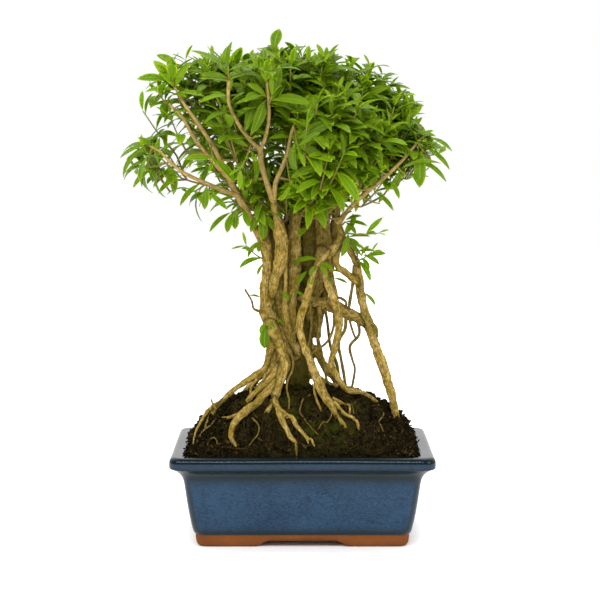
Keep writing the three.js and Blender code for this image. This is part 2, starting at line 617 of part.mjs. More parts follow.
const glaze = material(0x3d4f65, 0.25);
const plastic = material(0x26282a, 0.6);
const earth = material(0x231f11, 1);
const bark = material(0x9f8349, 0.85);
const leafGreen = material(0x5f8a1c, 0.5);

const plant = new THREE.Group();

function add(name, geometry, finish) {
  const mesh = new THREE.Mesh(geometry, finish);
  mesh.name = name;
  plant.add(mesh);
}

const places = stemPlaces();
const wood = makeWood(places);
const rootCutter = Manifold.union(rootRoutes()
  .map((route) => solidOf(taperedTube(route, sidesFor(route), ROOT_CLEARANCE))));
add('pot', makePot(), glaze);
add('drain_mesh_left', makeDrainMesh(-DRAIN_OFFSET), plastic);
add('drain_mesh_right', makeDrainMesh(DRAIN_OFFSET), plastic);
add('soil', makeSoil(rootCutter), earth);
add('trunk_and_roots', geometryOf(wood), bark);

const placed = [{ solid: wood, box: wood.boundingBox() }];
places.forEach((place, number) => {
  const stem = makeLeafyStem(place, number, placed);
  if (!stem) return;
  placed.push({ solid: stem, box: stem.boundingBox() });
  add(`leafy_stem_${String(number + 1).padStart(2, '0')}`, geometryOf(stem), leafGreen);
});

// The origin goes to the bottom centre of the whole plant's box
const bounds = new THREE.Box3().setFromObject(plant);
plant.position.set(-(bounds.min.x + bounds.max.x) / 2, -(bounds.min.y + bounds.max.y) / 2, 0);

export default plant;
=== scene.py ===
"""A serissa bonsai grown over exposed roots, in a glazed pot. Metres, +Z up."""

import bpy
import numpy as np
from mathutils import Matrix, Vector


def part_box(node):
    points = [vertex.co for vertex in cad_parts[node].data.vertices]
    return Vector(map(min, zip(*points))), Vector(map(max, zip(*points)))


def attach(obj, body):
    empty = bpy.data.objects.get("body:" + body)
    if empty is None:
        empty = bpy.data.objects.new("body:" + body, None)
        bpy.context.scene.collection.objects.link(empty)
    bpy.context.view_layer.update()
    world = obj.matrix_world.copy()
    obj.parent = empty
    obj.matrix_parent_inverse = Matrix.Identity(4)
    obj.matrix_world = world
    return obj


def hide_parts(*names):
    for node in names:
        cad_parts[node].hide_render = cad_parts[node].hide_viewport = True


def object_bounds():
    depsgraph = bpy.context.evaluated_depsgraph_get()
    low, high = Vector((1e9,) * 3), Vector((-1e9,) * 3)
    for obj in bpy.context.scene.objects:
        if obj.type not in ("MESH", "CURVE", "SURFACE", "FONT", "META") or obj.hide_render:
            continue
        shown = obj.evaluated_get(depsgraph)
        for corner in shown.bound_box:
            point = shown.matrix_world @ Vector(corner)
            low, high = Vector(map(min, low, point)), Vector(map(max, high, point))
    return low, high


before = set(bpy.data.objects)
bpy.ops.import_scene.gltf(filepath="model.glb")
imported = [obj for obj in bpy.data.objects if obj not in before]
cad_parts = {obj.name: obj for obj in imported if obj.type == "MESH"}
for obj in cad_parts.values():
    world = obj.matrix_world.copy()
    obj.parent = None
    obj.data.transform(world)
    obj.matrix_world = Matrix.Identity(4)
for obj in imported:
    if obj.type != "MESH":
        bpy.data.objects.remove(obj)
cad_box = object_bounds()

# Pot
# A slip-cast stoneware box, fired once. A blue glaze covers the outside and the rim, thin and dark on
# every edge, and the foot ring under it is left as bare terracotta. The cove under the lip is painted
# darker still, as shade.
MM = 0.001
pot_low, pot_high = (np.array(corner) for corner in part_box("pot"))
POT_MIDDLE = (pot_low + pot_high) / 2 * (1, 1, 0)
POT_SIZE = pot_high - pot_low
FOOT_ARCH = 5 * MM
DRAIN_OFFSET = 42 * MM
DRAIN_RADIUS = 8 * MM
DRAIN_SIDES = 32
DRAIN_CUT = (2 * MM, 20 * MM)
CORNER_STEPS = 10
OUTLINE_STEP = 2.6 * MM
LIP_WAVE = 0.12 * MM
LIP_WAVE_ABOVE = 50 * MM
CORNER_THIN_BELOW = 60 * MM
CORNER_THINNESS = 0.75
CORNER_SPREAD = 0.25
ON_STRAIGHT = 0.999
GLAZE_TINT = (0.78, 0.92, 1.0, 1.0)
GLAZE_BLUE = (0.0165, 0.05, 0.1)
GLAZE_DEEP = (0.002, 0.014, 0.036)
# Dark glaze for thin edges; the same colour is painted shade in the cove under the lip.
GLAZE_EDGE_AND_SHADE = (0.004, 0.008, 0.01)
TERRACOTTA = (0.188, 0.056, 0.0095)

# An arch between two feet: its half width at the ground and the length of its slope.
ARCH_IN_FRONT = (35.5 * MM, 11 * MM)
ARCH_AT_SIDE = (24 * MM, 9 * MM)

# Wall profile in millimetres: height, distance in from the rim's outside, corner radius, and how dark the
# glaze is painted: thin glaze on the edges, and painted shade in the cove under the lip. It starts under
# the floor, goes round the outside and ends on the inside floor.
# The glaze covers the rows between these two, from the top of the foot ring to low on the inside.
GLAZED_ROWS = (12.5, 49.5)
POT_PROFILE = [
    (5.6, 60, 4, 0), (5.6, 34, 5, 0), (5.2, 33, 5, 0), (1, 31.4, 6, 0), (0.3, 31, 6, 0), (0, 30.2, 6, 0),
    (0, 22.4, 6, 0), (0.3, 21.4, 6.5, 0), (1.1, 20.4, 7.2, 0), (2.6, 19.5, 8, 0), (5, 19, 8.5, 0),
    (8.8, 18.7, 9, 0), (9.4, 18.6, 9, 0), (9.6, 18.2, 9, 1), (10.2, 17.7, 9, 1), (11.3, 17.2, 9, 0.9),
    (12.8, 16.7, 9, 0.6), (15, 16.2, 9, 0.25), (19, 15.3, 9, 0), (26, 14, 9, 0), (34, 12.7, 9, 0),
    (42, 11.6, 9, 0), (48, 10.8, 9, 0.2), (51.5, 10.2, 9, 0.45), (54, 9.4, 9, 0.8), (56, 8.3, 9.2, 1),
    (57.6, 6.9, 9.4, 1), (59, 5.4, 9.6, 1), (60.2, 3.8, 9.6, 1), (61.2, 2.2, 9.6, 1), (61.9, 0.9, 9.6, 1),
    (62.5, 0.2, 9.5, 0.9), (63.5, 0, 9.5, 0.5), (65, 0, 9.5, 0.4), (66.3, 0, 9.5, 0.5),
    (67.4, 0.05, 9.5, 0.95), (68.6, 0.3, 9.5, 1), (69.6, 0.85, 9.4, 1), (70.4, 1.7, 9.2, 1),
    (70.85, 2.8, 9, 1), (71, 4.2, 8.6, 1), (70.9, 9.5, 7.5, 1), (70.8, 11, 7, 1), (70.3, 12, 7, 1),
    (69.2, 12.6, 7, 1), (66, 13.1, 7, 0.6), (60, 14.5, 7.5, 0.3), (52, 16.5, 8, 0), (34, 19.6, 8, 0),
    (17, 23, 8, 0), (14.6, 24.5, 8, 0), (14, 27, 7, 0), (14, 60, 4, 0),
]


def rectangle_walk(half_width, half_depth, straight_step):
    """Steps anticlockwise round a rectangle with rounded corners, as arrays cx, cy and angle.

    A point of the outline is (cx * (half_width - radius) + radius * cos(angle),
    cy * (half_depth - radius) + radius * sin(angle)), for any inset size and corner radius.
    """
    side_x = np.linspace(1, -1, int(2 * half_width / straight_step), endpoint=False)[1:]
    side_y = np.linspace(1, -1, int(2 * half_depth / straight_step), endpoint=False)[1:]
    quarter = np.linspace(0, np.pi / 2, CORNER_STEPS)
    one, one_x, one_y = np.ones(CORNER_STEPS), np.ones_like(side_x), np.ones_like(side_y)
    cx = np.concatenate([one, side_x, -one, -one_y, -one, -side_x, one, one_y])
    cy = np.concatenate([one, one_x, one, side_y, -one, -one_x, -one, -side_y])
    angle = np.concatenate([
        quarter, np.full_like(side_x, np.pi / 2), quarter + np.pi / 2, np.full_like(side_y, np.pi),
        quarter + np.pi, np.full_like(side_x, 1.5 * np.pi), quarter + 1.5 * np.pi, np.zeros_like(side_y)])
    return cx, cy, angle


def closed_rings(rings):
    """Faces of a surface of rings (rows, points round), closed by one middle point at each end.

    Face (i, j) joins point j of ring i with its neighbours on rings i and i + 1, counted round.
    The two added points are the means of the first and the last ring.
    """
    rows, around = rings.shape[:2]
    index = np.arange(rows * around).reshape(rows, around)
    after = np.roll(index, -1, axis=1)
    quads = np.stack([index[:-1], after[:-1], after[1:], index[1:]], axis=-1).reshape(-1, 4)
    first, last = rows * around, rows * around + 1
    caps = np.concatenate([
        np.stack([after[0], index[0], np.full(around, first)], axis=-1),
        np.stack([index[-1], after[-1], np.full(around, last)], axis=-1)])
    points = np.concatenate([rings.reshape(-1, 3), [rings[0].mean(axis=0)], [rings[-1].mean(axis=0)]])
    return points, quads, caps


def mesh_object(name, points, quads, triangles=(), **attributes):
    """A smooth-shaded mesh object from arrays of points and faces, with per-point attributes.

    An attribute of shape (n,) is a number for each point, one of shape (n, 3) a vector.
    """
    mesh = bpy.data.meshes.new(name)
    corners = np.concatenate([np.ravel(quads), np.ravel(triangles)]).astype(np.int32)
    starts = np.concatenate([
        4 * np.arange(len(quads)), 4 * len(quads) + 3 * np.arange(len(triangles))]).astype(np.int32)
    mesh.vertices.add(len(points))
    mesh.vertices.foreach_set("co", np.ravel(points).astype(np.float32))
    mesh.loops.add(len(corners))
    mesh.loops.foreach_set("vertex_index", corners)
    mesh.polygons.add(len(starts))
    mesh.polygons.foreach_set("loop_start", starts)
    mesh.update(calc_edges=True)
    for label, values in attributes.items():
        add_attribute(mesh, label, values)
    made = bpy.data.objects.new(name, mesh)
    bpy.context.scene.collection.objects.link(made)
    return made


def add_attribute(mesh, label, values):
    """Stores one number or one vector for each point of the mesh under that label."""
    kind, field = ("FLOAT", "value") if np.ndim(values) == 1 else ("FLOAT_VECTOR", "vector")
    layer = mesh.attributes.new(label, kind, "POINT")
    layer.data.foreach_set(field, np.ravel(values).astype(np.float32))


def apply_modifiers(piece):
    """Makes the piece's modifiers part of its mesh."""
    shape = bpy.data.meshes.new_from_object(piece.evaluated_get(bpy.context.evaluated_depsgraph_get()))
    piece.modifiers.clear()
    piece.data = shape


def shader_node(tree, kind, settings=None, **inputs):
    """Adds a shader node. settings are its own options; inputs are numbers, colours or sockets.

    An underscore in an input's name stands for a space, and input_0 is the first socket.
    """
    made = tree.nodes.new(kind)
    for option, value in (settings or {}).items():
        setattr(made, option, value)
    for label, value in inputs.items():
        key = int(label[6:]) if label.startswith("input_") else label.replace("_", " ")
        socket = made.inputs[key]
        if isinstance(value, bpy.types.NodeSocket):
            tree.links.new(value, socket)
        elif isinstance(value, tuple) and len(value) == 3 and socket.type == "RGBA":
            socket.default_value = (*value, 1)
        else:
            socket.default_value = value
    return made


def blend_colours(tree, share, under, over):
    """The colour under, with over on it as far as share says."""
    made = shader_node(tree, "ShaderNodeMix", {"data_type": "RGBA"})
    for socket, value in ((made.inputs[0], share), (made.inputs[6], under), (made.inputs[7], over)):
        if isinstance(value, bpy.types.NodeSocket):
            tree.links.new(value, socket)
        else:
            socket.default_value = (*value, 1) if isinstance(value, tuple) else value
    return made.outputs[2]


def spread(tree, value, low, high, to_low=0.0, to_high=1.0):
    """The value stretched so that low to high becomes to_low to to_high, and no further."""
    return shader_node(tree, "ShaderNodeMapRange", Value=value, From_Min=low, From_Max=high,
                       To_Min=to_low, To_Max=to_high).outputs["Result"]


def layered(tree, colour, *layers):
    """The colour with more colours over it, one after another.

    A layer is a value, its range low and high, what that range becomes, and the layer's colour.
    """
    for value, low, high, to_low, to_high, over in layers:
        colour = blend_colours(tree, spread(tree, value, low, high, to_low, to_high), colour, over)
    return colour


def calculated(tree, operation, *values):
    """The result of a Math node on those numbers or sockets."""
    inputs = {f"input_{place}": value for place, value in enumerate(values)}
    return shader_node(tree, "ShaderNodeMath", {"operation": operation}, **inputs).outputs[0]


def vector_result(tree, operation, *values, **inputs):
    """The vector that a Vector Math node makes of those vectors or sockets."""
    inputs.update((f"input_{place}", value) for place, value in enumerate(values))
    return shader_node(tree, "ShaderNodeVectorMath", {"operation": operation}, **inputs).outputs[0]


def noise(tree, vector, scale, detail, roughness=0.5):
    """The value of a Noise Texture node, about 0.3 to 0.7."""
    return shader_node(tree, "ShaderNodeTexNoise", Vector=vector, Scale=scale, Detail=detail,
                       Roughness=roughness).outputs["Fac"]


def effect_group(name, inputs, outputs):
    """A shader node group with those named number or vector inputs and number outputs."""
    tree = bpy.data.node_groups.new(name, "ShaderNodeTree")
    for label, kind in inputs.items():
        tree.interface.new_socket(label, in_out="INPUT", socket_type=kind)
    for label, kind in outputs.items():
        tree.interface.new_socket(label, in_out="OUTPUT", socket_type=kind)
    return tree, tree.nodes.new("NodeGroupInput").outputs, tree.nodes.new("NodeGroupOutput").inputs


def build_mottle():
    """Cloudy variation with finer specks in it: Mask is 0 to 1, Grain is the finer part alone."""
    tree, given, result = effect_group(
        "mottle", {"Vector": "NodeSocketVector", "Scale": "NodeSocketFloat", "Speck": "NodeSocketFloat"},
        {"Mask": "NodeSocketFloat", "Grain": "NodeSocketFloat"})
    cloud = noise(tree, given["Vector"], given["Scale"], 4.0, 0.6)
    fine_scale = calculated(tree, "MULTIPLY", given["Scale"], given["Speck"])
    specks = noise(tree, given["Vector"], fine_scale, 2.0, 0.7)
    both = calculated(tree, "MULTIPLY_ADD", specks, 0.5, cloud)
    tree.links.new(spread(tree, both, 0.52, 0.98), result["Mask"])
    tree.links.new(specks, result["Grain"])
    return tree


MOTTLE = build_mottle()


def mottled(tree, vector, scale, speck):
    """Places the shared mottle effect, with cloud size 1 / scale and specks finer by speck."""
    return shader_node(tree, "ShaderNodeGroup", {"node_tree": MOTTLE},
                       Vector=vector, Scale=scale, Speck=speck).outputs


def new_material(name, roughness, specular=0.5):
    """A material with its Principled shader, its node tree and the object coordinates."""
    made = bpy.data.materials.new(name)
    made.use_nodes = True
    tree = made.node_tree
    shader = tree.nodes["Principled BSDF"]
    shader.inputs["Roughness"].default_value = roughness
    shader.inputs["Specular IOR Level"].default_value = specular
    place = tree.nodes.new("ShaderNodeTexCoord").outputs["Object"]
    return made, tree, shader, place


def raise_surface(tree, shader, height, strength, distance):
    """Gives the shader a bump of that height map, distance deep in metres."""
    bump = shader_node(tree, "ShaderNodeBump", Strength=strength, Distance=distance, Height=height)
    tree.links.new(bump.outputs["Normal"], shader.inputs["Normal"])


def attribute_of(tree, label):
    """The outputs of a point attribute of the mesh."""
    return shader_node(tree, "ShaderNodeAttribute", {"attribute_name": label}).outputs


def shaded(colour, share):
    """The colour with each channel times share."""
    return tuple(share * channel for channel in colour)


def two_tone(name, under, over, scale, speck, roughness, specular=0.5, bump=0.0, depth=0.0):
    """A material mottled between two colours. Its grain is raised by bump, depth metres deep."""
    made, tree, shader, place = new_material(name, roughness, specular)
    tone = mottled(tree, place, scale, speck)
    tree.links.new(blend_colours(tree, tone["Mask"], under, over), shader.inputs["Base Color"])
    if bump:
        raise_surface(tree, shader, tone["Grain"], bump, depth)
    return made


def glaze_material():
    """Blue glaze in fine wavy flecks that lie level, going dark where it is thin on an edge and with
    painted shade in the cove under the lip.
    """
    made, tree, shader, place = new_material("glaze", 0.09, 0.36)
    shader.inputs["Specular Tint"].default_value = GLAZE_TINT
    level = vector_result(tree, "MULTIPLY", place, (1.0, 1.0, 2.6))
    wavy = vector_result(tree, "SCALE", (0.0, 0.0, 0.012), Scale=noise(tree, place, 160.0, 1.0))
    flecks = mottled(tree, vector_result(tree, "ADD", level, wavy), 400.0, 2.0)
    drift = mottled(tree, place, 30.0, 3.0)
    share = calculated(tree, "MULTIPLY_ADD", drift["Mask"], 0.5, flecks["Mask"])
    # Thin glaze on the edges, and painted shade in the cove under the lip, darken the colour here.
    edge = calculated(tree, "MULTIPLY_ADD", flecks["Grain"], 0.5, attribute_of(tree, "thin_glaze")["Fac"])
    colour = layered(tree, GLAZE_DEEP, (share, 0.3, 1.25, 0.0, 1.0, GLAZE_BLUE),
                     (edge, 0.3, 1.15, 0.0, 0.95, GLAZE_EDGE_AND_SHADE))
    tree.links.new(colour, shader.inputs["Base Color"])
    raise_surface(tree, shader, flecks["Mask"], 0.04, 0.0002)
    return made


def arch_share(along, half_width, slope):
    """0 at a foot and 1 between two feet: (half_width - |along|) / slope, kept within 0 and 1."""
    return np.clip((half_width - np.abs(along)) / slope, 0, 1)


def pot_surface():
    """The pot's wall profile carried round a rounded rectangle, its lower edge lifted in the arches.

    A point is the outline point of its row's inset size, at its row's height z. Below the arch
    height h it is lifted to z + (h - z) * a, where a eases arch_share. The lip is a little wavy.
    """
    cx, cy, angle = rectangle_walk(POT_SIZE[0] / 2, POT_SIZE[1] / 2, OUTLINE_STEP)
    height, inset, radius, thin = np.array(POT_PROFILE).T[:, :, None]
    height, inset, radius = height * MM, inset * MM, radius * MM
    x = cx * (POT_SIZE[0] / 2 - inset - radius) + radius * np.cos(angle)
    y = cy * (POT_SIZE[1] / 2 - inset - radius) + radius * np.sin(angle)
    arch = np.where(np.abs(np.sin(angle)) > ON_STRAIGHT, arch_share(x, *ARCH_IN_FRONT), 0)
    arch = np.where(np.abs(np.cos(angle)) > ON_STRAIGHT, arch_share(y, *ARCH_AT_SIDE), arch)
    arch = 0.5 * arch + 0.5 * arch * arch * (3 - 2 * arch)
    lifted = height + np.clip(FOOT_ARCH - height, 0, None) * arch
    wavy = LIP_WAVE * (np.sin(37 * x + 1) + np.sin(61 * y)) * (height > LIP_WAVE_ABOVE)
    rings = np.stack([x, y, lifted + wavy], axis=-1) + POT_MIDDLE
    on_corner = np.exp(-((np.abs(np.abs(np.sin(2 * angle)) - 1)) / CORNER_SPREAD) ** 2)
    # How dark the glaze goes: thin on edges and corners, and painted shade in the cove under the lip.
    thinness_and_shade = np.maximum(thin + 0 * x, CORNER_THINNESS * on_corner * (height < CORNER_THIN_BELOW))
    row = np.arange(len(POT_PROFILE))[:, None] + 0 * x
    glazed = (row > GLAZED_ROWS[0]) & (row < GLAZED_ROWS[1])
    return mesh_object("pot_body", *closed_rings(rings), thin_glaze=np.append(thinness_and_shade, [0, 0]),
                       glazed=np.append(glazed, [0, 0]))


def drain_cutter(x):
    """A prism of DRAIN_SIDES sides that stands through the pot's floor at x."""
    angle = np.linspace(0, 2 * np.pi, DRAIN_SIDES, endpoint=False)
    circle = np.stack([
        x + DRAIN_RADIUS * np.cos(angle), DRAIN_RADIUS * np.sin(angle), 0 * angle], axis=-1)
    rings = np.stack([circle + (0, 0, height) for height in DRAIN_CUT]) + POT_MIDDLE
    return mesh_object("drain_cutter", *closed_rings(rings))


def read_all(collection, field, count, kind):
    """That field of every item of a mesh collection, as one array of count numbers."""
    values = np.empty(count, dtype=kind)
    collection.foreach_get(field, values)
    return values


pot = pot_surface()
cutters = [drain_cutter(x) for x in (-DRAIN_OFFSET, DRAIN_OFFSET)]
for cutter in cutters:
    hole = pot.modifiers.new("drain", "BOOLEAN")
    hole.operation = "DIFFERENCE"
    hole.object = cutter
apply_modifiers(pot)
for cutter in cutters:
    bpy.data.objects.remove(cutter)
clay = two_tone("terracotta", shaded(TERRACOTTA, 0.72), TERRACOTTA, 60.0, 18.0, 0.85, 0.25, 0.3, 0.0003)
pot.data.materials.clear()
pot.data.materials.append(glaze_material())
pot.data.materials.append(clay)
glazed_point = read_all(pot.data.attributes["glazed"].data, "value", len(pot.data.vertices), float)
corner_point = read_all(pot.data.loops, "vertex_index", len(pot.data.loops), np.int32)
first_corner = read_all(pot.data.polygons, "loop_start", len(pot.data.polygons), np.int32)
bare = np.minimum.reduceat(glazed_point[corner_point], first_corner) < 0.5
pot.data.polygons.foreach_set("material_index", bare.astype(np.int32))
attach(pot, "root")
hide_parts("pot")


# Drain mesh
# Squares of black plastic mesh laid over the two drain holes so that the soil stays in. They are
# punched from sheet, and the soil on top holds them down.
PLASTIC_BLACK = (0.012, 0.013, 0.014)

plastic = two_tone("mesh_plastic", PLASTIC_BLACK, shaded(PLASTIC_BLACK, 2.2), 300.0, 6.0, 0.55,
                   bump=0.2, depth=0.0002)
for name in ("drain_mesh_left", "drain_mesh_right"):
    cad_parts[name].data.materials.clear()
    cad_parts[name].data.materials.append(plastic)


# Soil
# Dark peaty bonsai soil with bark crumbs and root fibres, heaped up by hand under the trunks and
# pressed down at the rim. Moss has spread over it between the roots.
SOIL_EDGE = 67.5
SOIL_HEAP = 47.0
SOIL_REACH = (91.0, 66.0)
SOIL_DARK = (0.002, 0.0018, 0.0008)
SOIL_BROWN = (0.026, 0.0185, 0.006)
SOIL_PALE = (0.085, 0.06, 0.018)
SOIL_MOSS = (0.032, 0.037, 0.003)
SOIL_STEP = 1.35 * MM
SOIL_RINGS = 100
SOIL_CALM = 0.05
CRUMB_FIELD = (90, 65)
CRUMB_CHUNK = 500

# The heap's dents and the ripples between its crumbs: height, wavelength and seed. Both reliefs are
# sunk a little, so that the heap keeps its height.
DENTS = (1.5, 15, 1)
RIPPLES = (0.7, 6, 2)
DENT_SINK = 1.0
CRUMB_SINK = 1.2

# Crumbs on the heap: how much of their height shows, seed, number and size in millimetres.
HEAP_CRUMBS = [(1.1, 3, 4500, 1.25), (0.9, 4, 800, 2.8)]

# Spots of moss as x, y and radius, and the soil banked up where a root goes in as x, y, radius and
# height, in millimetres from the pot's middle.
MOSS_SPOTS = [(-26, -36, 10), (-14, -34, 8), (-6, -42, 9), (28, -48, 9), (14, -44, 10), (40, -32, 8),
              (-4, -8, 16), (34, -52, 6), (-46, -26, 6), (6, -54, 7), (16, 30, 16), (-30, 24, 12)]
ROOT_ENDS = [(-24, -35, 5, 1.5), (-29, -43, 4, 1.5), (-5, -60, 4, 1.5), (33, -51, 5, 2.5),
             (60, -8, 5, 1.5), (74, -29, 5, 2), (-74, -28, 4, 1.5), (-83, -45, 4, 1), (-46, -29, 5, 1.5),
             (-50, -58, 5, 1.5), (-61, 42, 5, 1.5), (-15, 52, 5, 1.5), (41, 47, 5, 1.5), (57, 17, 5, 1.5)]

# The soil along the pot's wall: height, distance in from the rim's outside, corner radius.
WALL_ROWS = [(14.4, 60, 4), (14.4, 27, 6), (17.4, 23.5, 8), (52, 17, 8), (63, 14.9, 7.5), (66.6, 14.2, 7)]


def soil_height(x, y):
    """Height of the heap in millimetres: edge + heap * (1 - |x/a|^3.4)^0.85 * (1 - |y/b|^2.4)^0.9."""
    across = np.clip(1 - np.abs(x / SOIL_REACH[0]) ** 3.4, 0, None) ** 0.85
    along = np.clip(1 - np.abs(y / SOIL_REACH[1]) ** 2.4, 0, None) ** 0.9
    return SOIL_EDGE + SOIL_HEAP * across * along * (1 - 0.1 * np.abs(x / SOIL_REACH[0]))


def unit(vector):
    """The vector at length 1."""
    return vector / np.linalg.norm(vector, axis=-1, keepdims=True)


def waves(points, wavelength, seed, count=14):
    """A smooth uneven value of about -1 to 1: the mean of seeded sine waves in random directions.

    value(p) = sqrt(2 / count) * sum of sin(2 pi p . d / wavelength + phase) over unit directions d.
    """
    rng = np.random.default_rng(seed)
    directions = unit(rng.normal(size=(count, points.shape[-1])))
    scale = 2 * np.pi / (wavelength * rng.uniform(0.7, 1.4, count))
    phase = rng.uniform(0, 2 * np.pi, count)
    return np.sqrt(2 / count) * np.sin(points @ directions.T * scale + phase).sum(axis=-1)


def crumb_relief(x, y, seed, count, size):
    """Round crumbs on a plane: sqrt(max(0, r^2 - d^2)) above it, of the crumb that stands highest."""
    rng = np.random.default_rng(seed)
    centres = np.stack([rng.uniform(-reach, reach, count) for reach in CRUMB_FIELD], axis=-1)
    radii = size * rng.uniform(0.55, 1.3, count)
    relief = np.zeros_like(x)
    for start in range(0, count, CRUMB_CHUNK):
        chunk, r = centres[start:start + CRUMB_CHUNK], radii[start:start + CRUMB_CHUNK]
        apart = (x[:, None] - chunk[:, 0]) ** 2 + (y[:, None] - chunk[:, 1]) ** 2
        relief = np.maximum(relief, np.sqrt(np.clip(r ** 2 - apart, 0, None)).max(axis=1))
    return relief


def rolling(x, y, height, wavelength, seed):
    """height * waves of the place (x, y), in millimetres."""
    return height * waves(np.stack([x, y], axis=-1), wavelength, seed)


def heap_relief(x, y):
    """Height of the crumbs and small waves on the heap, for flat arrays in millimetres."""
    relief = rolling(x, y, *RIPPLES)
    for share, seed, count, size in HEAP_CRUMBS:
        relief += share * crumb_relief(x, y, seed, count, size)
    return relief - CRUMB_SINK


def round_spots(x, y, spots):
    """exp(-d^2 / r^2) for each spot of x, y and radius r, with d the distance from it."""
    spots = np.array(spots)
    apart = (x[..., None] - spots[:, 0]) ** 2 + (y[..., None] - spots[:, 1]) ** 2
    return np.exp(-apart / spots[:, 2] ** 2)


def moss_share(x, y):
    """How mossy the ground is: the sum of its round spots, at most 1."""
    return np.clip(round_spots(x, y, MOSS_SPOTS).sum(axis=-1), 0, 1)


def soil_top(x, y):
    """The heap without its crumbs: its height, its dents, and height * spot for each root's bank."""
    banks = (np.array(ROOT_ENDS)[:, 3] * round_spots(x, y, ROOT_ENDS)).sum(axis=-1)
    return soil_height(x, y) + rolling(x, y, *DENTS) - DENT_SINK + banks


def soil_material():
    """Near black soil with brown flecks, green where moss grows."""
    made, tree, shader, place = new_material("soil", 0.95, 0.03)
    flecks = mottled(tree, place, 300.0, 4.0)
    patches = mottled(tree, place, 110.0, 5.0)
    specks = mottled(tree, place, 700.0, 2.0)
    mossy = calculated(tree, "MULTIPLY", attribute_of(tree, "moss")["Fac"],
                       spread(tree, patches["Mask"], 0.35, 0.8))
    colour = layered(tree, SOIL_DARK, (flecks["Mask"], 0.2, 1.0, 0.0, 1.0, SOIL_BROWN),
                     (specks["Mask"], 0.72, 0.95, 0.0, 0.6, SOIL_PALE))
    colour = blend_colours(tree, attribute_of(tree, "pale")["Fac"], colour, SOIL_PALE)
    tree.links.new(blend_colours(tree, mossy, colour, SOIL_MOSS), shader.inputs["Base Color"])
    raise_surface(tree, shader, flecks["Grain"], 1.0, 0.0012)
    return made


def soil_surface():
    """The heap: rings of the pot's inside outline, shrunk towards the middle over the top.

    Height is soil_top plus heap_relief. In the last SOIL_CALM of the way to the wall, up to four
    fifths of it is soil_height instead.
    """
    cx, cy, angle = rectangle_walk(POT_SIZE[0] / 2, POT_SIZE[1] / 2, SOIL_STEP)
    half_width, half_depth = POT_SIZE[0] / MM / 2, POT_SIZE[1] / MM / 2
    wall = np.array(WALL_ROWS)[:, :, None]
    x = cx * (half_width - wall[:, 1] - wall[:, 2]) + wall[:, 2] * np.cos(angle)
    y = cy * (half_depth - wall[:, 1] - wall[:, 2]) + wall[:, 2] * np.sin(angle)
    z = wall[:, 0] + 0 * x
    share = np.linspace(0.995, 0.01, SOIL_RINGS)[:, None]
    top_x, top_y = share * x[-1], share * y[-1]
    rough = soil_top(top_x, top_y) + heap_relief(top_x.ravel(), top_y.ravel()).reshape(top_x.shape)
    calm = np.clip((1 - share) / SOIL_CALM, 0.2, 1)
    top_z = calm * rough + (1 - calm) * soil_height(top_x, top_y)
    x, y, z = (np.concatenate(pair) for pair in ((x, top_x), (y, top_y), (z, top_z)))
    rings = np.stack([x, y, z], axis=-1) * MM + POT_MIDDLE
    points, quads, caps = closed_rings(rings)
    moss = moss_share((points[:, 0] - POT_MIDDLE[0]) / MM, (points[:, 1] - POT_MIDDLE[1]) / MM)
    return mesh_object("soil_heap", points, quads, caps, moss=moss)


soil_finish = soil_material()
soil = soil_surface()
soil.data.materials.append(soil_finish)
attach(soil, "root")
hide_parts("soil")
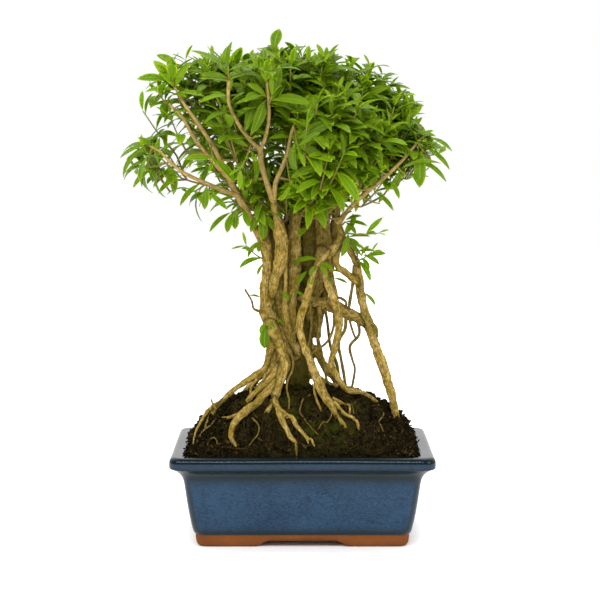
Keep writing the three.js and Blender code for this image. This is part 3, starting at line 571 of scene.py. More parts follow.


# Trunks and roots
# Several stems and thick roots of one serissa, grown together side by side. The bark is thin, light tan
# and finely cracked lengthwise, and the aged wood in the middle and behind is painted dark and mossy,
# partly as shade among the stems.
# Each route has points of x, y, z and radius in millimetres, from the middle of the pot's foot.
TRUNKS = {
    "left": [(-30, -4, 245, 3.1), (-28, -5, 230, 3.5), (-27, -6, 213, 4), (-27, -7, 198, 4.8),
             (-28, -7, 186, 5.4), (-26, -8, 172, 6), (-22, -8, 160, 6), (-12, -1, 142, 6.5)],
    "front_left": [(-23, -18, 267, 2.3), (-22, -15, 257, 2.5), (-19, -14, 245, 3.3), (-17, -14, 236, 4.8),
                   (-16, -15, 222, 4.8), (-18, -14, 209, 4.2), (-22, -11, 197, 3.8), (-26, -8, 184, 3.2),
                   (-27, -7, 174, 2.6)],
    "between": [(-18, -3, 244, 3.6), (-18, -3, 214, 4.2), (-18, -4, 190, 4.6), (-16, -3, 170, 5.2),
                (-13, 1, 150, 6)],
    "front_strand": [(-15, -14, 226, 2.8), (-13, -12, 208, 1.9), (-13, -11, 192, 1.9),
                     (-13, -10, 172, 2.6), (-10, -5, 156, 4), (-6, 2, 140, 5.5)],
    "middle": [(-5, 0, 258, 4.4), (-6, -1, 234, 5), (-6, -2, 214, 5.3), (-7, -3, 198, 5.1),
               (-9, -4, 182, 4.7), (-10, -4, 166, 4.9), (-10, -2, 152, 5)],
    "core": [(4, 9, 262, 6), (4, 9, 230, 7), (1, 9, 200, 6.5), (-3, 10, 176, 6), (-6, 9, 146, 6),
             (-4, 7, 126, 7.5), (-3, 6, 104, 8.5)],
    "heart": [(-3, 13, 262, 9), (-4, 14, 230, 11.5), (-4, 14, 200, 12), (-5, 12, 170, 11),
              (-5, 9, 140, 9), (-4, 7, 112, 9.5)],
    "between_left": [(-23, 0, 246, 4), (-23, -1, 220, 4.4), (-23, -2, 196, 4.5), (-22, -3, 176, 5)],
    "right": [(13, 8, 268, 6), (15, 8, 248, 6.4), (16, 8, 225, 6), (13, 8, 203, 5.4), (8, 8, 184, 5),
              (1, 9, 166, 4.6)],
    "right_to_beam": [(17, 6, 218, 4), (21, 5, 202, 3.4), (25, 3, 188, 2.8), (26, 1, 178, 2.6)],
    "beam": [(-2, 5, 184, 4.2), (14, 2, 180, 4.6), (22, 1, 179, 5.2), (31, 0, 174, 4.9),
             (39, -1, 171, 4.3), (51, -3, 164, 4)],
    "front_right": [(27, -2, 271, 2.6), (27, -4, 256, 2.8), (27, -5, 243, 2.5), (29, -8, 234, 3.6),
                    (26, -11, 226, 3.6), (18, -14, 217, 2.6)],
    "front_right_arm": [(28, -7, 234, 3), (35, -7, 225, 3), (42, -6, 211, 3)],
    "back_left": [(-24, 16, 262, 2.8), (-22, 17, 240, 3.6), (-18, 17, 214, 4.6), (-15, 17, 186, 5),
                  (-13, 15, 160, 5), (-9, 12, 134, 5.4)],
    "back": [(4, 22, 262, 3.4), (3, 22, 236, 4.6), (1, 21, 206, 5), (2, 19, 176, 5.2), (3, 15, 146, 5.4),
             (2, 11, 122, 5.4)],
    "back_right": [(26, 14, 262, 2.8), (25, 16, 240, 3.6), (21, 17, 212, 4.4), (15, 17, 182, 4.6),
                   (9, 14, 152, 5)],
}
ROOTS = {
    "front_leg": [(-25, -12, 166, 4.6), (-20, -14, 155, 4.2), (-16, -16, 148, 4), (-14, -19, 137, 4.2),
                  (-15, -22, 128, 3.9), (-19, -26, 118, 3.4), (-21, -30, 110, 2.9), (-24, -34, 104, 2.3)],
    "front_leg_toe": [(-23, -33, 107, 2), (-26, -38, 102, 1.8), (-29, -43, 97, 1.4)],
    "front_leg_run": [(-21, -32, 110, 2.4), (-19, -39, 104, 2.4), (-16, -46, 98, 2.3),
                      (-13, -51, 92, 2.1), (-10, -55, 86, 1.9), (-5, -60, 80, 1.5)],
    "crossing": [(20, -14, 221, 2.4), (11, -20, 211, 2.1), (6, -21, 197, 2.4), (3, -22, 184, 2.8),
                 (-1, -24, 174, 3), (-2, -24, 162, 2.7), (2, -25, 149, 3), (6, -26, 138, 3),
                 (11, -27, 125, 3.3), (17, -32, 113, 3.5), (23, -38, 104, 2.8), (29, -46, 95, 2.2),
                 (33, -51, 89, 1.6)],
    "knee": [(15, 4, 222, 3.6), (14, -11, 211, 2.6), (18, -14, 200, 2.4), (22, -16, 189, 2.7),
             (27, -18, 178, 3.2), (28, -19, 166, 2.8), (26, -20, 154, 2.6), (24, -21, 145, 2.8),
             (22, -22, 137, 2.3), (26, -21, 127, 2.4), (31, -20, 119, 2.4), (37, -18, 114, 2.2),
             (46, -14, 112, 2), (54, -11, 107, 1.9), (60, -8, 101, 1.4)],
    "loop": [(29, -8, 229, 3.2), (26, -10, 218, 2.6), (27, -11, 210, 2.4), (32, -11, 206, 2.8),
             (38, -9, 201, 3), (44, -6, 195, 2.4)],
    "outrigger": [(41, -6, 216, 2.6), (44, -5, 203, 2.9), (45, -5, 188, 3.4), (49, -4, 172, 3.6),
                  (53, -4, 159, 4), (58, -4, 144, 3.9), (64, -4, 127, 3.7), (68, -7, 115, 3.4),
                  (71, -14, 105, 3.1), (72, -21, 97, 2.9), (74, -29, 89, 2.1)],
    "left_run": [(-21, -10, 157, 4), (-25, -11, 143, 3.2), (-28, -13, 133, 2.8), (-35, -14, 126, 2.6),
                 (-44, -15, 121, 2.5), (-52, -15, 115, 2.4), (-59, -16, 109, 2.2), (-65, -19, 103, 2),
                 (-70, -23, 96, 1.9), (-74, -28, 88, 1.5)],
    "left_leg": [(-25, -7, 176, 5.4), (-24, -6, 160, 5), (-24, -8, 146, 4.6), (-24, -11, 134, 4),
                 (-28, -14, 123, 3.4), (-34, -17, 114, 3)],
    "left_twist": [(-62, -17, 107, 1.7), (-71, -24, 101, 1.5), (-76, -32, 95, 1.3), (-81, -39, 86, 1.2),
                   (-83, -45, 75, 1)],
    "left_inner": [(-17, -17, 134, 3), (-26, -21, 122, 2.8), (-34, -23, 115, 2.5), (-41, -26, 108, 2.2),
                   (-46, -29, 102, 1.8)],
    "front_run": [(-17, -22, 124, 3), (-26, -28, 116, 2.9), (-34, -33, 108, 3.1), (-42, -38, 102, 3.1),
                  (-49, -43, 96, 2.8), (-53, -49, 90, 2.4), (-53, -55, 83, 2.1), (-50, -58, 78, 1.8)],
    "back_left_run": [(-12, 13, 148, 3.6), (-22, 18, 132, 3.2), (-33, 24, 120, 2.8), (-43, 30, 109, 2.6),
                      (-53, 36, 99, 2.2), (-61, 42, 88, 1.7)],
    "back_run": [(3, 16, 140, 3.6), (-2, 26, 124, 3.2), (-6, 35, 112, 2.8), (-12, 44, 101, 2.4),
                 (-15, 52, 90, 1.8)],
    "back_right_run": [(9, 14, 144, 3.4), (19, 22, 126, 3), (28, 29, 114, 2.7), (36, 38, 103, 2.3),
                       (41, 47, 91, 1.8)],
    "right_run": [(2, 9, 128, 4), (16, 6, 117, 3), (30, 7, 113, 2.6), (44, 11, 109, 2.2),
                  (57, 17, 99, 1.8)],
}

# How dark the wood of a trunk or root is painted, 0 where it isn't named: aged wood, and painted shade on
# the stems in the middle and behind.
DARK_WOOD_AND_SHADE = {"core": 0.9, "heart": 1.0, "between": 0.5, "between_left": 0.8, "middle": 0.3, "right": 0.25,
            "beam": 0.25, "back": 0.6, "back_left": 0.5, "back_right": 0.5, "right_run": 0.2}

# The wood's surface. It is fused at VOXEL and eased FILLETING times where two parts meet. Fillets, the
# painted shade in the crevices between parts and the painted shade on the wood just above the soil reach
# so far in millimetres. Each wave of the relief has a height, a factor below 1 that draws it out along
# the grain, a wavelength and a seed.
ROOT_DEPTH = 9.0
VOXEL = 0.89 * MM
FILLETING = 14
FILLET_REACH = 2.2
CREVICE_SHADE_REACH = 1.1
SOIL_LINE_SHADE_REACH = 3
WOOD_STEP = 1.6
WOOD_SIDES = 20
WOOD_LOBES = 0.09
NEAR_ROUTE = 12
GRAIN_SHIFT = 61.0
BARK_WAVES = [(0.1, 0.18, 2.6, 90), (0.14, 0.6, 2.0, 91), (0.3, 0.6, 8, 92)]
FISSURE_WAVE = (0.12, 3.4, 93)
FISSURE_WIDTH = 0.3
FISSURE_DEPTH = 0.12
FULL_RELIEF_RADIUS = 3.8
BARK_TAN = (0.28, 0.186, 0.01)
BARK_PALE = (0.62, 0.45, 0.175)
BARK_OLIVE = (0.11, 0.088, 0.004)
BARK_CRACK = (0.1, 0.058, 0.004)
# Dark olive for aged wood, and for the painted shade among the inner stems and in crevices.
BARK_DARK_AND_SHADE = (0.035, 0.032, 0.003)


def sunk(route):
    """The route with one more point, ROOT_DEPTH lower and a millimetre further out."""
    (x0, y0), (x, y, z, radius) = route[-2][:2], route[-1]
    reach = np.hypot(x - x0, y - y0)
    return [*route, (x + (x - x0) / reach, y + (y - y0) / reach, z - ROOT_DEPTH, 0.7 * radius)]


def smooth_route(route, step):
    """Points every step along a Catmull-Rom curve through the route, as x, y, z, radius.

    Between p1 and p2: 0.5 * (2 p1 + (p2 - p0) t + (2 p0 - 5 p1 + 4 p2 - p3) t^2
    + (3 p1 - p0 - 3 p2 + p3) t^3).
    """
    knots = np.array(route, dtype=float)
    lengths = np.linalg.norm(np.diff(knots[:, :3], axis=0), axis=1)
    count = max(3, int(round(lengths.sum() / step)) + 1)
    along = np.interp(np.linspace(0, lengths.sum(), count), np.append(0, np.cumsum(lengths)),
                      np.arange(len(knots)))
    row = np.minimum(along.astype(int), len(knots) - 2)
    t = (along - row)[:, None]
    padded = np.concatenate([[2 * knots[0] - knots[1]], knots, [2 * knots[-1] - knots[-2]]])
    p0, p1, p2, p3 = (padded[row + shift] for shift in range(4))
    curve = 0.5 * (2 * p1 + (p2 - p0) * t + (2 * p0 - 5 * p1 + 4 * p2 - p3) * t ** 2
                   + (3 * p1 - p0 - 3 * p2 + p3) * t ** 3)
    curve[:, 3] = np.maximum(curve[:, 3], 0.5 * knots[:, 3].min())
    return curve


def route_frames(curve):
    """Tangent, and two unit vectors square to it, at each point of a curve.

    The first is the cross product of the tangent with the axis that the curve leans on least.
    """
    tangent = unit(np.gradient(curve[:, :3], axis=0))
    axis = np.eye(3)[np.abs(tangent).max(axis=0).argmin()]
    across = unit(np.cross(tangent, axis))
    return tangent, across, np.cross(tangent, across)


def run_along(curve):
    """How far along the curve each of its points lies."""
    return np.append(0, np.cumsum(np.linalg.norm(np.diff(curve[:, :3], axis=0), axis=1)))


def tube(curve, sides, lobes=0.0, seed=0):
    """A tube round the curve: c + R (a cos u + b sin u), with R = r (1 + lobes * waves(u, s)).

    Returns its rings, and for each of their points the grain vector (r cos u, r sin u, s), which
    is where the point lies in the wood if its route were straight.
    """
    tangent, across, other = route_frames(curve)
    angle = np.linspace(0, 2 * np.pi, sides, endpoint=False)
    circle = np.stack([np.cos(angle), np.sin(angle)], axis=-1)
    radius = curve[:, 3][:, None] + 0 * angle
    run = np.broadcast_to(run_along(curve)[:, None, None], (*radius.shape, 1))
    grain = np.concatenate([radius[..., None] * circle, run], axis=-1)
    if lobes:
        knobs = 0.7 * waves(grain * (1.3, 1.3, 0.35), 9, seed) + 0.5 * waves(grain, 11, seed + 1)
        radius = radius * (1 + lobes * knobs)
    rings = curve[:, None, :3] + radius[..., None] * (
        across[:, None] * circle[:, :1] + other[:, None] * circle[:, 1:])
    return rings, grain


def merged_tubes(parts, first=0):
    """Points, quads, end triangles and grain of closed tubes, given as (rings, grain) pairs.

    Lists with one array for each tube. Their points are counted from first.
    """
    points, quads, caps, grains = [], [], [], []
    for rings, grain in parts:
        placed, sides, ends = closed_rings(rings)
        points.append(placed)
        quads.append(sides + first)
        caps.append(ends + first)
        flat = grain.reshape(-1, 3)
        grains.append(np.concatenate([flat, [grain[0].mean(axis=0)], [grain[-1].mean(axis=0)]]))
        first += len(placed)
    return points, quads, caps, grains


def joined_tubes(name, parts):
    """One mesh of many closed tubes, given as (rings, grain) pairs in millimetres."""
    points, quads, caps, grain = (np.concatenate(lists) for lists in merged_tubes(parts))
    return mesh_object(name, points * MM + POT_MIDDLE, quads, caps, grain=grain * MM)


def bark_material():
    """Tan bark: pale and dark strokes along the grain, fine cracks, olive stains, dark aged wood with
    painted shade among the inner stems, painted shade in crevices and at the soil, and painted light on
    high limbs.
    """
    made, tree, shader, _ = new_material("bark", 0.85, 0.03)
    grain = attribute_of(tree, "grain")["Vector"]
    long_grain = vector_result(tree, "MULTIPLY", grain, (1.0, 1.0, 0.38))
    strokes = mottled(tree, long_grain, 480.0, 2.6)
    patches = mottled(tree, grain, 170.0, 6.0)
    stains = mottled(tree, grain, 55.0, 5.0)
    pits = noise(tree, grain, 1000.0, 2.0)
    split = spread(tree, noise(tree, long_grain, 780.0, 3.0, 0.6), 0.38, 0.48, 1.0, 0.0)
    colour = layered(
        tree, BARK_TAN, (patches["Mask"], 0.0, 1.2, 0.0, 1.0, BARK_PALE),
        (stains["Mask"], 0.45, 0.9, 0.0, 0.6, BARK_OLIVE),
        (strokes["Mask"], 0.0, 0.65, 0.62, 0.0, BARK_CRACK), (split, 0.0, 1.0, 0.0, 0.65, BARK_CRACK),
        (pits, 0.36, 0.46, 0.45, 0.0, BARK_CRACK),
        # Limbs go paler up in the crown: painted light under the leaves, on bark that is also younger
        # there.
        (attribute_of(tree, "fresh_and_lit_bark")["Fac"], 0.0, 1.0, 0.0, 0.35, BARK_PALE),
        # Painted shade: the stems in the middle and behind go dark, along with the aged wood.
        (attribute_of(tree, "dark_wood_and_shade")["Fac"], 0.0, 1.0, 0.0, 0.85, BARK_DARK_AND_SHADE),
        # Painted shade in the crevices between parts and at the soil line.
        (attribute_of(tree, "crevice_shade")["Fac"], 0.0, 1.0, 0.0, 0.8, BARK_DARK_AND_SHADE))
    tree.links.new(colour, shader.inputs["Base Color"])
    ridges = calculated(tree, "MULTIPLY_ADD", split, -0.9, strokes["Mask"])
    raise_surface(tree, shader, ridges, 0.8, 0.0006)
    return made


def point_values(mesh, field):
    """The places ("co") or normals ("normal") of the mesh's points, one row each."""
    return read_all(mesh.vertices, field, 3 * len(mesh.vertices), float).reshape(-1, 3)


def edge_ends(mesh):
    """The numbers of the two points of each of the mesh's edges, one row each."""
    return read_all(mesh.edges, "vertices", 2 * len(mesh.edges), np.int32).reshape(-1, 2)


def place_points(mesh, points):
    """Moves the mesh's points there."""
    mesh.vertices.foreach_set("co", np.ravel(points).astype(np.float32))
    mesh.update()


def nearest_wood(points, curves):
    """Which route's surface each point is nearest to: the gap is |p - c| - r over its samples.

    Returns the least gap and the next route's, the grain vector (p . a, p . b, s) in that route, its
    radius there and how dark its wood is painted, as aged wood and as shade among the stems.
    """
    nearest, second = np.full(len(points), np.inf), np.full(len(points), np.inf)
    grain, radius, darkness = np.zeros_like(points), np.zeros(len(points)), np.zeros(len(points))
    for number, (label, curve) in enumerate(curves.items()):
        tangent, across, other = route_frames(curve)
        run = run_along(curve)
        near = np.flatnonzero(((points > curve[:, :3].min(axis=0) - NEAR_ROUTE)
                               & (points < curve[:, :3].max(axis=0) + NEAR_ROUTE)).all(axis=1))
        if not len(near):
            continue
        gap = np.linalg.norm(points[near, None] - curve[:, :3], axis=-1) - curve[:, 3]
        row = gap.argmin(axis=1)
        least = gap[np.arange(len(near)), row]
        offset = points[near] - curve[row, :3]
        here = np.stack([(offset * across[row]).sum(axis=-1), (offset * other[row]).sum(axis=-1),
                         run[row] + (offset * tangent[row]).sum(axis=-1) + GRAIN_SHIFT * number], axis=-1)
        closer = least < nearest[near]
        second[near] = np.where(closer, nearest[near], np.minimum(second[near], least))
        chosen = near[closer]
        nearest[chosen] = least[closer]
        grain[chosen] = here[closer]
        radius[chosen] = curve[row[closer], 3]
        darkness[chosen] = DARK_WOOD_AND_SHADE.get(label, 0.0)
    return nearest, second, grain, radius, darkness


def eased(mesh, points, weight, rounds):
    """Points drawn towards the mean of their neighbours: p + w / 2 * (mean - p), that many times."""
    first, second = edge_ends(mesh).T
    here, there = np.concatenate([first, second]), np.concatenate([second, first])
    number = np.bincount(here, minlength=len(points))[:, None]
    for _ in range(rounds):
        total = [np.bincount(here, points[there, axis], len(points)) for axis in range(3)]
        points = points + 0.5 * weight[:, None] * (np.stack(total, axis=-1) / number - points)
    return points


def fused_wood(name, routes):
    """Lobed tubes along the routes, fused by a voxel remesh, filleted where two meet, then roughened.

    The relief is waves of the grain vector, long along it, less fissures exp(-(w / width)^2) along
    the lines where such a wave w is zero. It is less deep on thin roots.
    """
    curves = {label: smooth_route(route, WOOD_STEP) for label, route in routes.items()}
    made = joined_tubes(name, [tube(curve, WOOD_SIDES, WOOD_LOBES, 40 + number)
                               for number, curve in enumerate(curves.values())])
    remesh = made.modifiers.new("fuse", "REMESH")
    remesh.mode = "VOXEL"
    remesh.voxel_size = VOXEL
    relax = made.modifiers.new("relax", "SMOOTH")
    relax.factor = 0.5
    relax.iterations = 2
    apply_modifiers(made)
    skin = made.data
    points = (point_values(skin, "co") - POT_MIDDLE) / MM
    nearest, second, *_ = nearest_wood(points, curves)
    weight = np.exp(-np.clip(second - nearest, 0, None) / FILLET_REACH)
    points = eased(skin, points, weight, FILLETING)
    place_points(skin, points * MM + POT_MIDDLE)
    nearest, second, grain, radius, darkness = nearest_wood(points, curves)
    # Painted shade: dark between two parts, on the wood just above the soil, and a little in the
    # fissures.
    crevice_shade = np.exp(-np.clip(second - nearest, 0, None) / CREVICE_SHADE_REACH)
    above_ground = points[:, 2] - soil_top(points[:, 0], points[:, 1])
    crevice_shade = np.maximum(crevice_shade, 0.7 * np.exp(-np.clip(above_ground, 0, None) / SOIL_LINE_SHADE_REACH))
    drawn_out, wavelength, seed = FISSURE_WAVE
    fissures = np.exp(-(waves(grain * (1, 1, drawn_out), wavelength, seed) / FISSURE_WIDTH) ** 2)
    relief = -FISSURE_DEPTH * fissures
    for height, drawn_out, wavelength, seed in BARK_WAVES:
        relief += height * waves(grain * (1, 1, drawn_out), wavelength, seed)
    relief *= np.clip(radius / FULL_RELIEF_RADIUS, 0.3, 1.2)
    points += point_values(skin, "normal") * relief[:, None]
    place_points(skin, points * MM + POT_MIDDLE)
    add_attribute(skin, "grain", grain * MM)
    add_attribute(skin, "dark_wood_and_shade", darkness)
    add_attribute(skin, "crevice_shade", np.clip(crevice_shade + 0.2 * fissures, 0, 1))
    skin.shade_smooth()
    return made


bark = bark_material()
thick_roots = {name: sunk(route) for name, route in ROOTS.items()}
trunks = fused_wood("trunks_and_roots", {**TRUNKS, **thick_roots})
trunks.data.materials.clear()
trunks.data.materials.append(bark)
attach(trunks, "root")
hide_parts("trunk_and_roots")


# Thin roots
# Roots a millimetre or two thick. Some hang from the beam and reach the soil or end in the air,
# others creep over the heap. The bark is the same but smooth, and it is dark on the hanging ones
# and on the finest.
HANGING_ROOTS = {
    "a": [(6, 0, 180, 1.4), (7, -2, 166, 1.1), (6, -4, 154, 1), (4, -6, 146, 0.9)],
    "b": [(13, -2, 178, 2), (14, -4, 165, 1.6), (12, -5, 153, 1.4), (15, -4, 141, 1.2),
          (17, -2, 130, 1.1), (20, -1, 113, 1), (21, -1, 104, 0.7)],
    "c": [(25, -3, 174, 1.3), (24, -7, 162, 1), (19, -11, 151, 1), (6, -17, 142, 1)],
    "d": [(34, -3, 170, 1.4), (33, -5, 160, 1.2), (28, -7, 150, 1.2), (30, -6, 137, 1.2),
          (32, -4, 126, 1.2), (34, -2, 111, 1), (35, -1, 102, 0.7)],
    "e": [(43, -3, 168, 1.3), (44, -3, 156, 1.1), (37, -2, 147, 1.1), (39, -2, 136, 1),
          (41, -1, 128, 1), (38, 0, 110, 0.9), (37, 0, 101, 0.6)],
    "f": [(52, -6, 166, 1.3), (57, -8, 162, 1.1), (58, -10, 155, 0.9)],
    "g": [(41, -6, 210, 2.2), (40, -5, 201, 1.8), (38, -4, 190, 1.4), (36, -3, 175, 1.2)],
    "h": [(12, 20, 190, 1.5), (19, 27, 168, 1.3), (22, 30, 144, 1.3), (28, 33, 126, 1.2),
          (31, 36, 104, 1), (32, 37, 95, 0.7)],
    "dead_twig": [(-28, -11, 174, 1.2), (-37, -15, 177, 0.9), (-39, -19, 184, 0.9),
                  (-44, -22, 193, 0.8)],
    "arch": [(25, -3, 183, 1.2), (28, -5, 185, 1), (31, -6, 184, 1), (34, -5, 181, 0.9),
             (33, -3, 176, 0.8)],
    "strand_i": [(12, -9, 201, 1), (9, -12, 195, 0.8), (6, -15, 187, 0.7)],
    "strand_j": [(16, -6, 192, 1), (11, -8, 186, 0.9), (7, -6, 181, 0.8)],
    "strand_k": [(36, -4, 170, 1), (38, -4, 162, 0.9), (40, -4, 156, 0.8), (42, -4, 152, 0.7)],
    "along_leg": [(-11, -21, 147, 1), (-8, -23, 142, 0.9), (-7, -24, 136, 0.9), (-8, -25, 130, 0.9),
                  (-11, -27, 124, 0.9), (-12, -29, 117, 0.9), (-10, -32, 108, 0.8), (-11, -36, 99, 0.8),
                  (-12, -38, 95, 0.6)],
    "spur": [(-3, -25, 164, 1.2), (-6, -26, 160, 0.9), (-9, -27, 156, 0.5)],
}
CREEPING_ROOTS = {
    "run_a": [(-19, -39, 104, 1.9), (-12, -44, 99, 1.6), (-6, -49, 94, 1.4), (2, -56, 86, 1.2),
              (9, -60, 79, 0.8)],
    "run_b": [(-14, -44, 99, 1.4), (-4, -52, 91, 1.1), (5, -59, 82, 0.8)],
    "run_c": [(-35, -17, 123, 1.4), (-39, -20, 118, 1.1), (-40, -22, 113, 0.9), (-41, -24, 107, 0.6)],
    "hook": [(-70, -22, 108, 1), (-69, -24, 105, 0.9), (-66, -26, 103, 0.7)],
    "stub": [(-46, -37, 100, 1.4), (-54, -37, 97, 1.3), (-59, -36, 95, 1.1), (-63, -36, 93, 0.8)],
    "run_e": [(24, -34, 107, 1.6), (31, -40, 100, 1.3), (38, -42, 97, 1.2), (40, -45, 94, 1.1),
              (43, -49, 90, 0.9)],
    "run_f": [(23, -28, 110, 1.2), (33, -31, 105, 1), (36, -34, 103, 0.9), (36, -38, 100, 0.7)],
    "run_i": [(11, -26, 125, 1.2), (9, -27, 117, 1), (11, -31, 109, 0.9), (15, -37, 101, 0.7)],
}
DARK_WIRES = {
    "wire_a": [(6, -24, 112, 0.6), (0, -32, 107, 0.6), (-2, -40, 101, 0.6), (1, -46, 96, 0.55),
               (6, -51, 91, 0.5), (12, -55, 87, 0.45)],
    "wire_b": [(12, -54, 88, 0.5), (17, -50, 93, 0.5), (21, -45, 97, 0.5), (23, -40, 101, 0.4)],
    "wire_c": [(26, -36, 106, 0.6), (33, -32, 106, 0.55), (38, -34, 104, 0.5), (39, -39, 101, 0.45)],
    "wire_d": [(-72, -57, 76, 0.5), (-71, -53, 80, 0.5), (-68, -50, 83, 0.5), (-65, -52, 82, 0.5),
               (-64, -56, 79, 0.4)],
    "wire_e": [(-62, -30, 98, 0.6), (-68, -38, 92, 0.6), (-76, -42, 86, 0.5), (-80, -50, 78, 0.4)],
    "wire_f": [(-38, -44, 97, 0.6), (-33, -50, 92, 0.5), (-34, -56, 86, 0.5), (-40, -60, 80, 0.4)],
    "wire_g": [(58, -22, 104, 0.6), (62, -32, 98, 0.5), (58, -42, 93, 0.5), (62, -52, 84, 0.4)],
}
SOIL_ROOT_STEP = 1.5
CREST_BLUR = (0.1, 0.25, 0.3, 0.25, 0.1)
DIVE_LENGTH = 2.5
THIN_SIDES = 8
THIN_LOBES = 0.12


def laid_on_soil(route):
    """The route's curve, resting on the crumbs: at least their evened-out height + 0.4 radius.

    The far end dives into the soil, by 3 r exp(-(s / DIVE_LENGTH)^2) at the distance s from it.
    """
    curve = smooth_route(route, SOIL_ROOT_STEP)
    ground = soil_top(curve[:, 0], curve[:, 1]) + heap_relief(curve[:, 0], curve[:, 1])
    padded = np.pad(ground, 3, mode="edge")
    crests = np.maximum(np.maximum(padded[:-2], padded[1:-1]), padded[2:])
    level = np.convolve(crests, CREST_BLUR, mode="valid")
    curve[:, 2] = np.maximum(curve[:, 2], level + 0.4 * curve[:, 3])
    from_end = SOIL_ROOT_STEP * np.arange(len(curve))[::-1]
    curve[:, 2] -= 3 * curve[:, 3] * np.exp(-(from_end / DIVE_LENGTH) ** 2)
    return curve


def thin_roots(name, curves, seed, darkness):
    """Uneven tubes along the curves as one piece, in bark darkened to that share."""
    made = joined_tubes(name, [tube(curve, THIN_SIDES, THIN_LOBES, seed + number)
                               for number, curve in enumerate(curves)])
    add_attribute(made.data, "dark_wood_and_shade", np.full(len(made.data.vertices), darkness))
    made.data.materials.append(bark)
    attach(made, "root")
    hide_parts("trunk_and_roots")


thin_roots("hanging_roots", [smooth_route(route, 2.0) for route in HANGING_ROOTS.values()], 200, 0.6)
creeping_curves = [laid_on_soil(route) for route in CREEPING_ROOTS.values()]
thin_roots("creeping_roots", creeping_curves, 240, 0.1)
thin_roots("root_wires", [laid_on_soil(route) for route in DARK_WIRES.values()], 280, 0.7)


# Top dressing
# Crumbs of peat and chips of bark that lie loose on the heap, none of them on a root, and short
# red-brown root hairs all over it.
FIBRE_RED = (0.075, 0.036, 0.01)
FIBRE_LENGTH = (7, 26)
FIBRE_RADIUS = (0.16, 0.3)
FIBRE_POINTS = 9
FIBRE_WAVE = 0.12
FIBRE_BENDS = (2, 9)
FIBRE_HOPS = (3, 8)
FIBRE_ABOVE = (0.9, 0.8)
SCATTER_INSET = 6
FIBRE_INSET = 5
CORNER_REACH = (0.7, 1.25)
CRUMB_SIZES = (0.5, 1.3)
SHOULDER = 60
SHOULDER_BAND = (63, 85)
SHOULDER_RISE = 1.4
PALE_SHARE = 0.1
PALE_AMOUNT = 0.7
BESIDE_ROOT = 0.9
LOW_ROOT = 6
LOW_ROOT_WIDTH = 0.7

# A unit icosahedron, the shape of every crumb.
ICO_LONG = (1 + 5 ** 0.5) / 2
ICO_POINTS = np.array([
    (-1, ICO_LONG, 0), (1, ICO_LONG, 0), (-1, -ICO_LONG, 0), (1, -ICO_LONG, 0),
    (0, -1, ICO_LONG), (0, 1, ICO_LONG), (0, -1, -ICO_LONG), (0, 1, -ICO_LONG),
    (ICO_LONG, 0, -1), (ICO_LONG, 0, 1), (-ICO_LONG, 0, -1), (-ICO_LONG, 0, 1),
]) / np.sqrt(1 + ICO_LONG ** 2)
ICO_FACES = np.array([
    (0, 11, 5), (0, 5, 1), (0, 1, 7), (0, 7, 10), (0, 10, 11), (1, 5, 9), (5, 11, 4), (11, 10, 2),
    (10, 7, 6), (7, 1, 8), (3, 9, 4), (3, 4, 2), (3, 2, 6), (3, 6, 8), (3, 8, 9), (4, 9, 5), (2, 4, 11),
    (6, 2, 10), (8, 6, 7), (9, 8, 1)])


def turned(rng, count):
    """Random turns as rotation matrices, from unit quaternions (w, x, y, z)."""
    quaternions = rng.normal(size=(4, count))
    w, x, y, z = quaternions / np.linalg.norm(quaternions, axis=0)
    return np.stack([
        np.stack([1 - 2 * (y * y + z * z), 2 * (x * y - w * z), 2 * (x * z + w * y)], axis=-1),
        np.stack([2 * (x * y + w * z), 1 - 2 * (x * x + z * z), 2 * (y * z - w * x)], axis=-1),
        np.stack([2 * (x * z - w * y), 2 * (y * z + w * x), 1 - 2 * (x * x + y * y)], axis=-1)], axis=1)


def scatter(rng, count, reach):
    """Seeded places on the heap, as x, y and height in millimetres, kept within reach of its edge."""
    x = rng.uniform(-1, 1, count) * (SOIL_REACH[0] - SCATTER_INSET) * reach
    y = rng.uniform(-1, 1, count) * (SOIL_REACH[1] - SCATTER_INSET) * reach
    return np.stack([x, y, soil_height(x, y)], axis=-1)


def clear_of_roots(where):
    """Which places lie beside the roots on the heap: further from their middle than their width."""
    clear = np.ones(len(where), dtype=bool)
    for x, y, width in root_footprint:
        clear &= (where[:, 0] - x) ** 2 + (where[:, 1] - y) ** 2 > width ** 2
    return clear


def crumbs(name, seed, count, size, lengths, reach, lift, shoulders=False):
    """Loose lumps: unit icosahedra scaled by (size * lengths), turned, and set on the heap.

    They lie a little higher on its left and right shoulders, and only there if shoulders is set.
    """
    rng = np.random.default_rng(seed)
    shape = ICO_POINTS * rng.uniform(*CORNER_REACH, (count, 12, 1))
    scale = size * rng.uniform(*CRUMB_SIZES, (count, 1, 1)) * np.array(lengths)
    solid = np.einsum("nij,nkj->nki", turned(rng, count), shape * scale)
    where = scatter(rng, count, reach)
    if shoulders:
        where[:, 0] = np.sign(where[:, 0]) * rng.uniform(*SHOULDER_BAND, count)
    on_shoulder = np.abs(where[:, 0]) > SHOULDER
    where[:, 2] = soil_top(where[:, 0], where[:, 1]) + lift + SHOULDER_RISE * on_shoulder
    beside = clear_of_roots(where)
    solid, where, count = solid[beside], where[beside], beside.sum()
    points = (solid + where[:, None]) * MM + POT_MIDDLE
    faces = ICO_FACES + 12 * np.arange(count)[:, None, None]
    moss = np.repeat(moss_share(where[:, 0], where[:, 1]), 12)
    pale = np.repeat(rng.uniform(0, 1, count) < PALE_SHARE, 12) * PALE_AMOUNT
    made = mesh_object(name, points.reshape(-1, 3), np.empty((0, 4)), faces.reshape(-1, 3),
                       moss=moss, pale=pale)
    made.data.materials.append(soil_finish)
    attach(made, "root")


